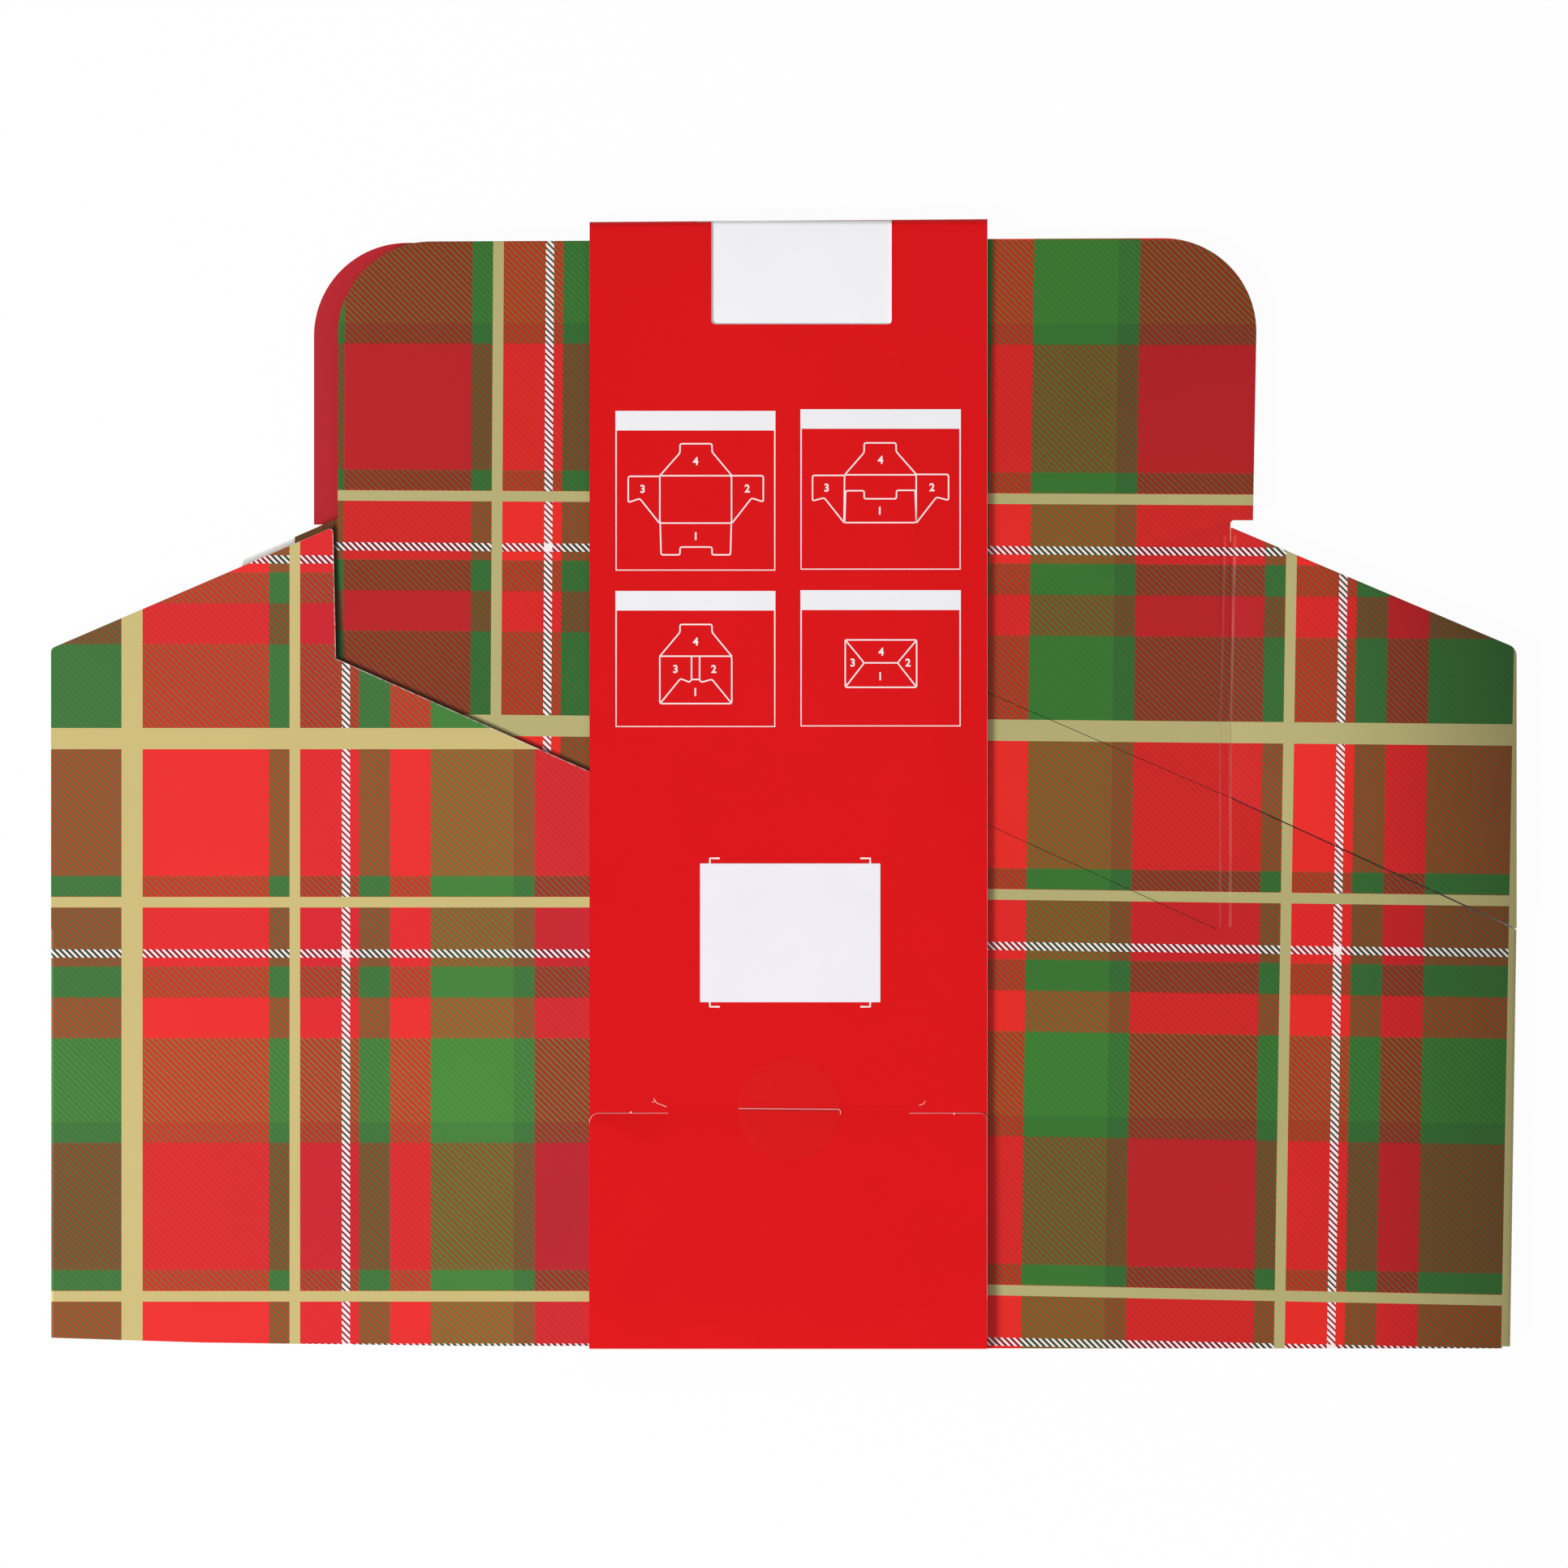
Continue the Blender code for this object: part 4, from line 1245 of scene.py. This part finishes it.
# Folding drawings and their numbers, in units of their own; a scale is left, top and units to a grid step
LEFT_DRAWINGS = (
    ((275, 360), (605, 360), (605, 578), (275, 578), (275, 360)),
    ((275, 360), (368, 255), (368, 213), (515, 213), (515, 250), (605, 358)),
    ((275, 363), (130, 363), (130, 483), (183, 465), (273, 578)),
    ((605, 360), (751, 360), (751, 480), (697, 463), (608, 577)),
    ((277, 580), (281, 724), (368, 724), (368, 688), (515, 688), (515, 724), (600, 724), (604, 580)),
    ((275, 1190), (606, 1190), (606, 1408), (275, 1408), (275, 1190)),
    ((275, 1190), (368, 1080), (368, 1044), (515, 1044), (515, 1080), (606, 1190)),
    ((421, 1190), (421, 1300), (410, 1309), (370, 1293), (277, 1407)),
    ((458, 1190), (458, 1302), (470, 1309), (515, 1296), (605, 1407)),
    ((421, 1297), (458, 1297)),
)
LEFT_DIGITS = (("4", 440, 295), ("3", 196, 423), ("2", 677, 421), ("1", 440, 640),
               ("4", 440, 1125), ("3", 347, 1251), ("2", 523, 1251), ("1", 438, 1357))
LEFT_SCALE = (740.0, 490.0, 3.735)

RIGHT_DRAWINGS = (
    ((253, 345), (590, 345), (590, 570), (250, 570), (253, 345)),
    ((255, 343), (345, 240), (345, 195), (495, 195), (495, 235), (590, 343)),
    ((253, 348), (102, 348), (102, 468), (157, 453), (250, 570)),
    ((590, 343), (742, 343), (742, 465), (685, 450), (592, 570)),
    ((253, 568), (258, 420), (345, 420), (345, 458), (497, 458), (497, 418), (585, 418), (590, 568)),
    ((256, 1122), (592, 1122), (592, 1345), (256, 1345), (256, 1122)),
    ((256, 1122), (345, 1230), (256, 1345)),
    ((592, 1122), (502, 1230), (592, 1345)),
    ((345, 1230), (502, 1230)),
)
RIGHT_DIGITS = (("4", 422, 277), ("3", 168, 408), ("2", 664, 406), ("1", 418, 516),
                ("4", 425, 1180), ("3", 291, 1231), ("2", 551, 1231), ("1", 420, 1295))
RIGHT_SCALE = (975.0, 495.0, 3.822)


def drawing_spot(place, scale):
    """A place in a drawing's own units, on the sleeve."""
    left, top, size = scale
    return at(left + place[0] / size, top + place[1] / size)


class CARRIER_OT_step_boxes(bpy.types.Operator):
    """Model the four printed step boxes: their outlines and pale headers"""
    bl_idname = "carrier.step_boxes"
    bl_label = "Step boxes"

    def execute(self, context):
        sleeve = context.scene.carrier_sleeve
        ink_top = SLEEVE_TOP + sleeve.ink_height
        half_line = 0.8
        card_finish("step_header_ink", sleeve.header, 0.1)
        card_finish("white_line_ink", sleeve.ink, 0.1)
        bars, frames = [], []
        for left, top, right, bottom, header in STEP_BOXES:
            bar = flat_plane("bar", at(left, header), at(right, top), ink_top)
            edit(bar)
            thicken_down(bar, sleeve.ink_height * 1.5)
            bevel_rim(bar, ink_top, sleeve.ink_height * 0.5, 1)
            leave()
            bars.append(bar)
            left, right, bottom = left + half_line, right - half_line, bottom - half_line
            corners = [at(left, top), at(left, bottom), at(right, bottom), at(right, top)]
            frames.append(ink_line(corners, sleeve.line_width, SLEEVE_TOP, sleeve.ink_height))
        for parts, name, finish in ((bars, "step_headers", "step_header_ink"),
                                    (frames, "step_outlines", "white_line_ink")):
            piece = join(parts, name)
            dress(piece, finish)
            hand_over(piece, "sleeve", "white_card")
        return {"FINISHED"}


class CARRIER_OT_step_drawings(bpy.types.Operator):
    """Model the folding drawings in the step boxes and their plain numbers"""
    bl_idname = "carrier.step_drawings"
    bl_label = "Step drawings"

    def digit(self, text, spot, height, rise):
        """A plain number as a flat raised mesh."""
        deselect()
        bpy.ops.object.text_add(location=(spot.x, spot.y, SLEEVE_TOP))
        item = bpy.context.object
        item.data.body = text
        item.data.size = height / 0.70
        item.data.align_x = "CENTER"
        item.data.align_y = "CENTER"
        item.data.offset = height * 0.035
        item.data.extrude = rise
        item.data.resolution_u = 4
        bpy.ops.object.convert(target="MESH")
        return settle(bpy.context.object, "digit")

    def execute(self, context):
        sleeve = context.scene.carrier_sleeve
        lines, digits = [], []
        for drawings, marks, scale in ((LEFT_DRAWINGS, LEFT_DIGITS, LEFT_SCALE),
                                       (RIGHT_DRAWINGS, RIGHT_DIGITS, RIGHT_SCALE)):
            for drawing in drawings:
                path = soften([drawing_spot(place, scale) for place in drawing])
                lines.append(ink_line(path, sleeve.line_width, SLEEVE_TOP, sleeve.ink_height))
            for text, across, down in marks:
                digits.append(self.digit(text, drawing_spot((across, down), scale),
                                         sleeve.digit_height, sleeve.ink_height))
        for parts, name in ((lines, "step_drawings"), (digits, "step_numbers")):
            piece = join(parts, name)
            piece.data.materials.clear()
            dress(piece, "white_line_ink")
            hand_over(piece, "sleeve", "white_card")
        return {"FINISHED"}


class CARRIER_OT_label(bpy.types.Operator):
    """Model the stock label and the printed corner marks round it"""
    bl_idname = "carrier.label"
    bl_label = "Label"

    def execute(self, context):
        sleeve = context.scene.carrier_sleeve
        low, high = at(863.2, 1234.6), at(1085.2, 1063.8)
        top = SLEEVE_TOP + 0.00012
        label = flat_plane("stock_label", low, high, top)
        edit(label)
        for corner in (low, high, Vector((low.x, high.y)), Vector((high.x, low.y))):
            round_corner(label, corner, 0.0002, 3)
        thicken_down(label, 0.0001)
        bevel_rim(label, top, 0.00004, 1)
        leave()
        dress(label, card_finish("label_white_paper", sleeve.label, 0.3))
        hand_over(label, "sleeve", "label_paper", "label_sticker")
        marks = []
        for across, inward in ((875.3, 12.0), (1072.6, -12.0)):
            for down, label_edge in ((1057.5, 1064.5), (1240.2, 1234.0)):
                path = [at(across, label_edge), at(across, down), at(across + inward, down)]
                marks.append(ink_line(path, sleeve.mark_width, SLEEVE_TOP, sleeve.ink_height))
        corners = join(marks, "label_corner_marks")
        dress(corners, "white_line_ink")
        hand_over(corners, "sleeve", "white_card")
        return {"FINISHED"}


class CARRIER_OT_stage(bpy.types.Operator):
    """Set up the pale floor, the soft lamp, the surroundings and the camera"""
    bl_idname = "carrier.stage"
    bl_label = "Stage"

    def execute(self, context):
        stage = context.scene.carrier_stage
        scene = context.scene
        white, glow_share = (1.0, 1.0, 1.0, 1.0), 0.96
        deselect()
        bpy.ops.mesh.primitive_plane_add(size=stage.floor_size, location=(0.0, 0.0, -0.0001))
        floor = bpy.context.object
        floor.name = "floor"
        finish = Finish("floor_white")
        paper = finish.node("ShaderNodeBsdfDiffuse", None, {"Color": (0.9, 0.9, 0.9, 1.0)})
        glow = finish.node("ShaderNodeEmission", None, {"Color": white, "Strength": 1.0})
        both = finish.node("ShaderNodeMixShader", None, {
            0: finish.seen_directly() * glow_share, 1: paper.outputs[0], 2: glow.outputs[0]})
        finish.node("ShaderNodeOutputMaterial", None, {"Surface": both.outputs[0]})
        dress(floor, finish.block)

        scene.world = scene.world or bpy.data.worlds.new("surroundings")
        air = Finish("surroundings", scene.world)
        sky = air.node("ShaderNodeBackground", None, {
            "Color": white, "Strength": stage.ambient + (1 - stage.ambient) * air.seen_directly()})
        air.node("ShaderNodeOutputWorld", None, {"Surface": sky.outputs[0]})

        deselect()
        bpy.ops.object.light_add(type="AREA", location=(-2.0, -1.05, 1.65))
        lamp = bpy.context.object
        lamp.name = "soft_lamp"
        lamp.data.energy = stage.lamp_power
        lamp.data.size = stage.lamp_size
        lamp.rotation_euler = (-Vector(lamp.location)).to_track_quat("-Z", "Y").to_euler()

        deselect()
        bpy.ops.object.camera_add(location=(0.0, 0.0, stage.camera_height + FRONT_SHEET_TOP),
                                  rotation=(0.0, 0.0, 0.0))
        camera = bpy.context.object
        camera.name = "camera"
        camera.data.lens = stage.lens
        camera.data.sensor_width = 36.0
        camera.data.clip_end = 50.0
        scene.camera = camera
        scene.view_settings.view_transform = "Standard"
        return {"FINISHED"}


class CARRIER_PT_panel(bpy.types.Panel):
    """Lists the carrier's operators and settings"""
    bl_idname = "CARRIER_PT_panel"
    bl_label = "Bottle carrier"
    bl_space_type = "VIEW_3D"
    bl_region_type = "UI"
    bl_category = "Carrier"

    def draw(self, context):
        for group in (context.scene.carrier_boards, context.scene.carrier_sleeve,
                      context.scene.carrier_stage):
            box = self.layout.box()
            for name in group.__annotations__:
                box.prop(group, name)
        for operator in OPERATORS:
            self.layout.operator(operator.bl_idname)


SETTINGS = (BoardSettings, SleeveSettings, StageSettings)
OPERATORS = (
    CARRIER_OT_stage, CARRIER_OT_walls, CARRIER_OT_handle_sheets, CARRIER_OT_shoulders,
    CARRIER_OT_inner_boards, CARRIER_OT_sleeve, CARRIER_OT_window_card, CARRIER_OT_tuck_flap,
    CARRIER_OT_seal, CARRIER_OT_step_boxes, CARRIER_OT_step_drawings, CARRIER_OT_label,
    CARRIER_OT_card_marks,
)


def register():
    for item in SETTINGS + OPERATORS + (CARRIER_PT_panel,):
        bpy.utils.register_class(item)
    bpy.types.Scene.carrier_boards = PointerProperty(type=BoardSettings)
    bpy.types.Scene.carrier_sleeve = PointerProperty(type=SleeveSettings)
    bpy.types.Scene.carrier_stage = PointerProperty(type=StageSettings)


def unregister():
    del bpy.types.Scene.carrier_boards
    del bpy.types.Scene.carrier_sleeve
    del bpy.types.Scene.carrier_stage
    for item in reversed(SETTINGS + OPERATORS + (CARRIER_PT_panel,)):
        bpy.utils.unregister_class(item)


def main():
    """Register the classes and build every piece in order."""
    register()
    for operator in OPERATORS:
        family, name = operator.bl_idname.split(".")
        getattr(getattr(bpy.ops, family), name)()


if __name__ == "__main__":
    main()
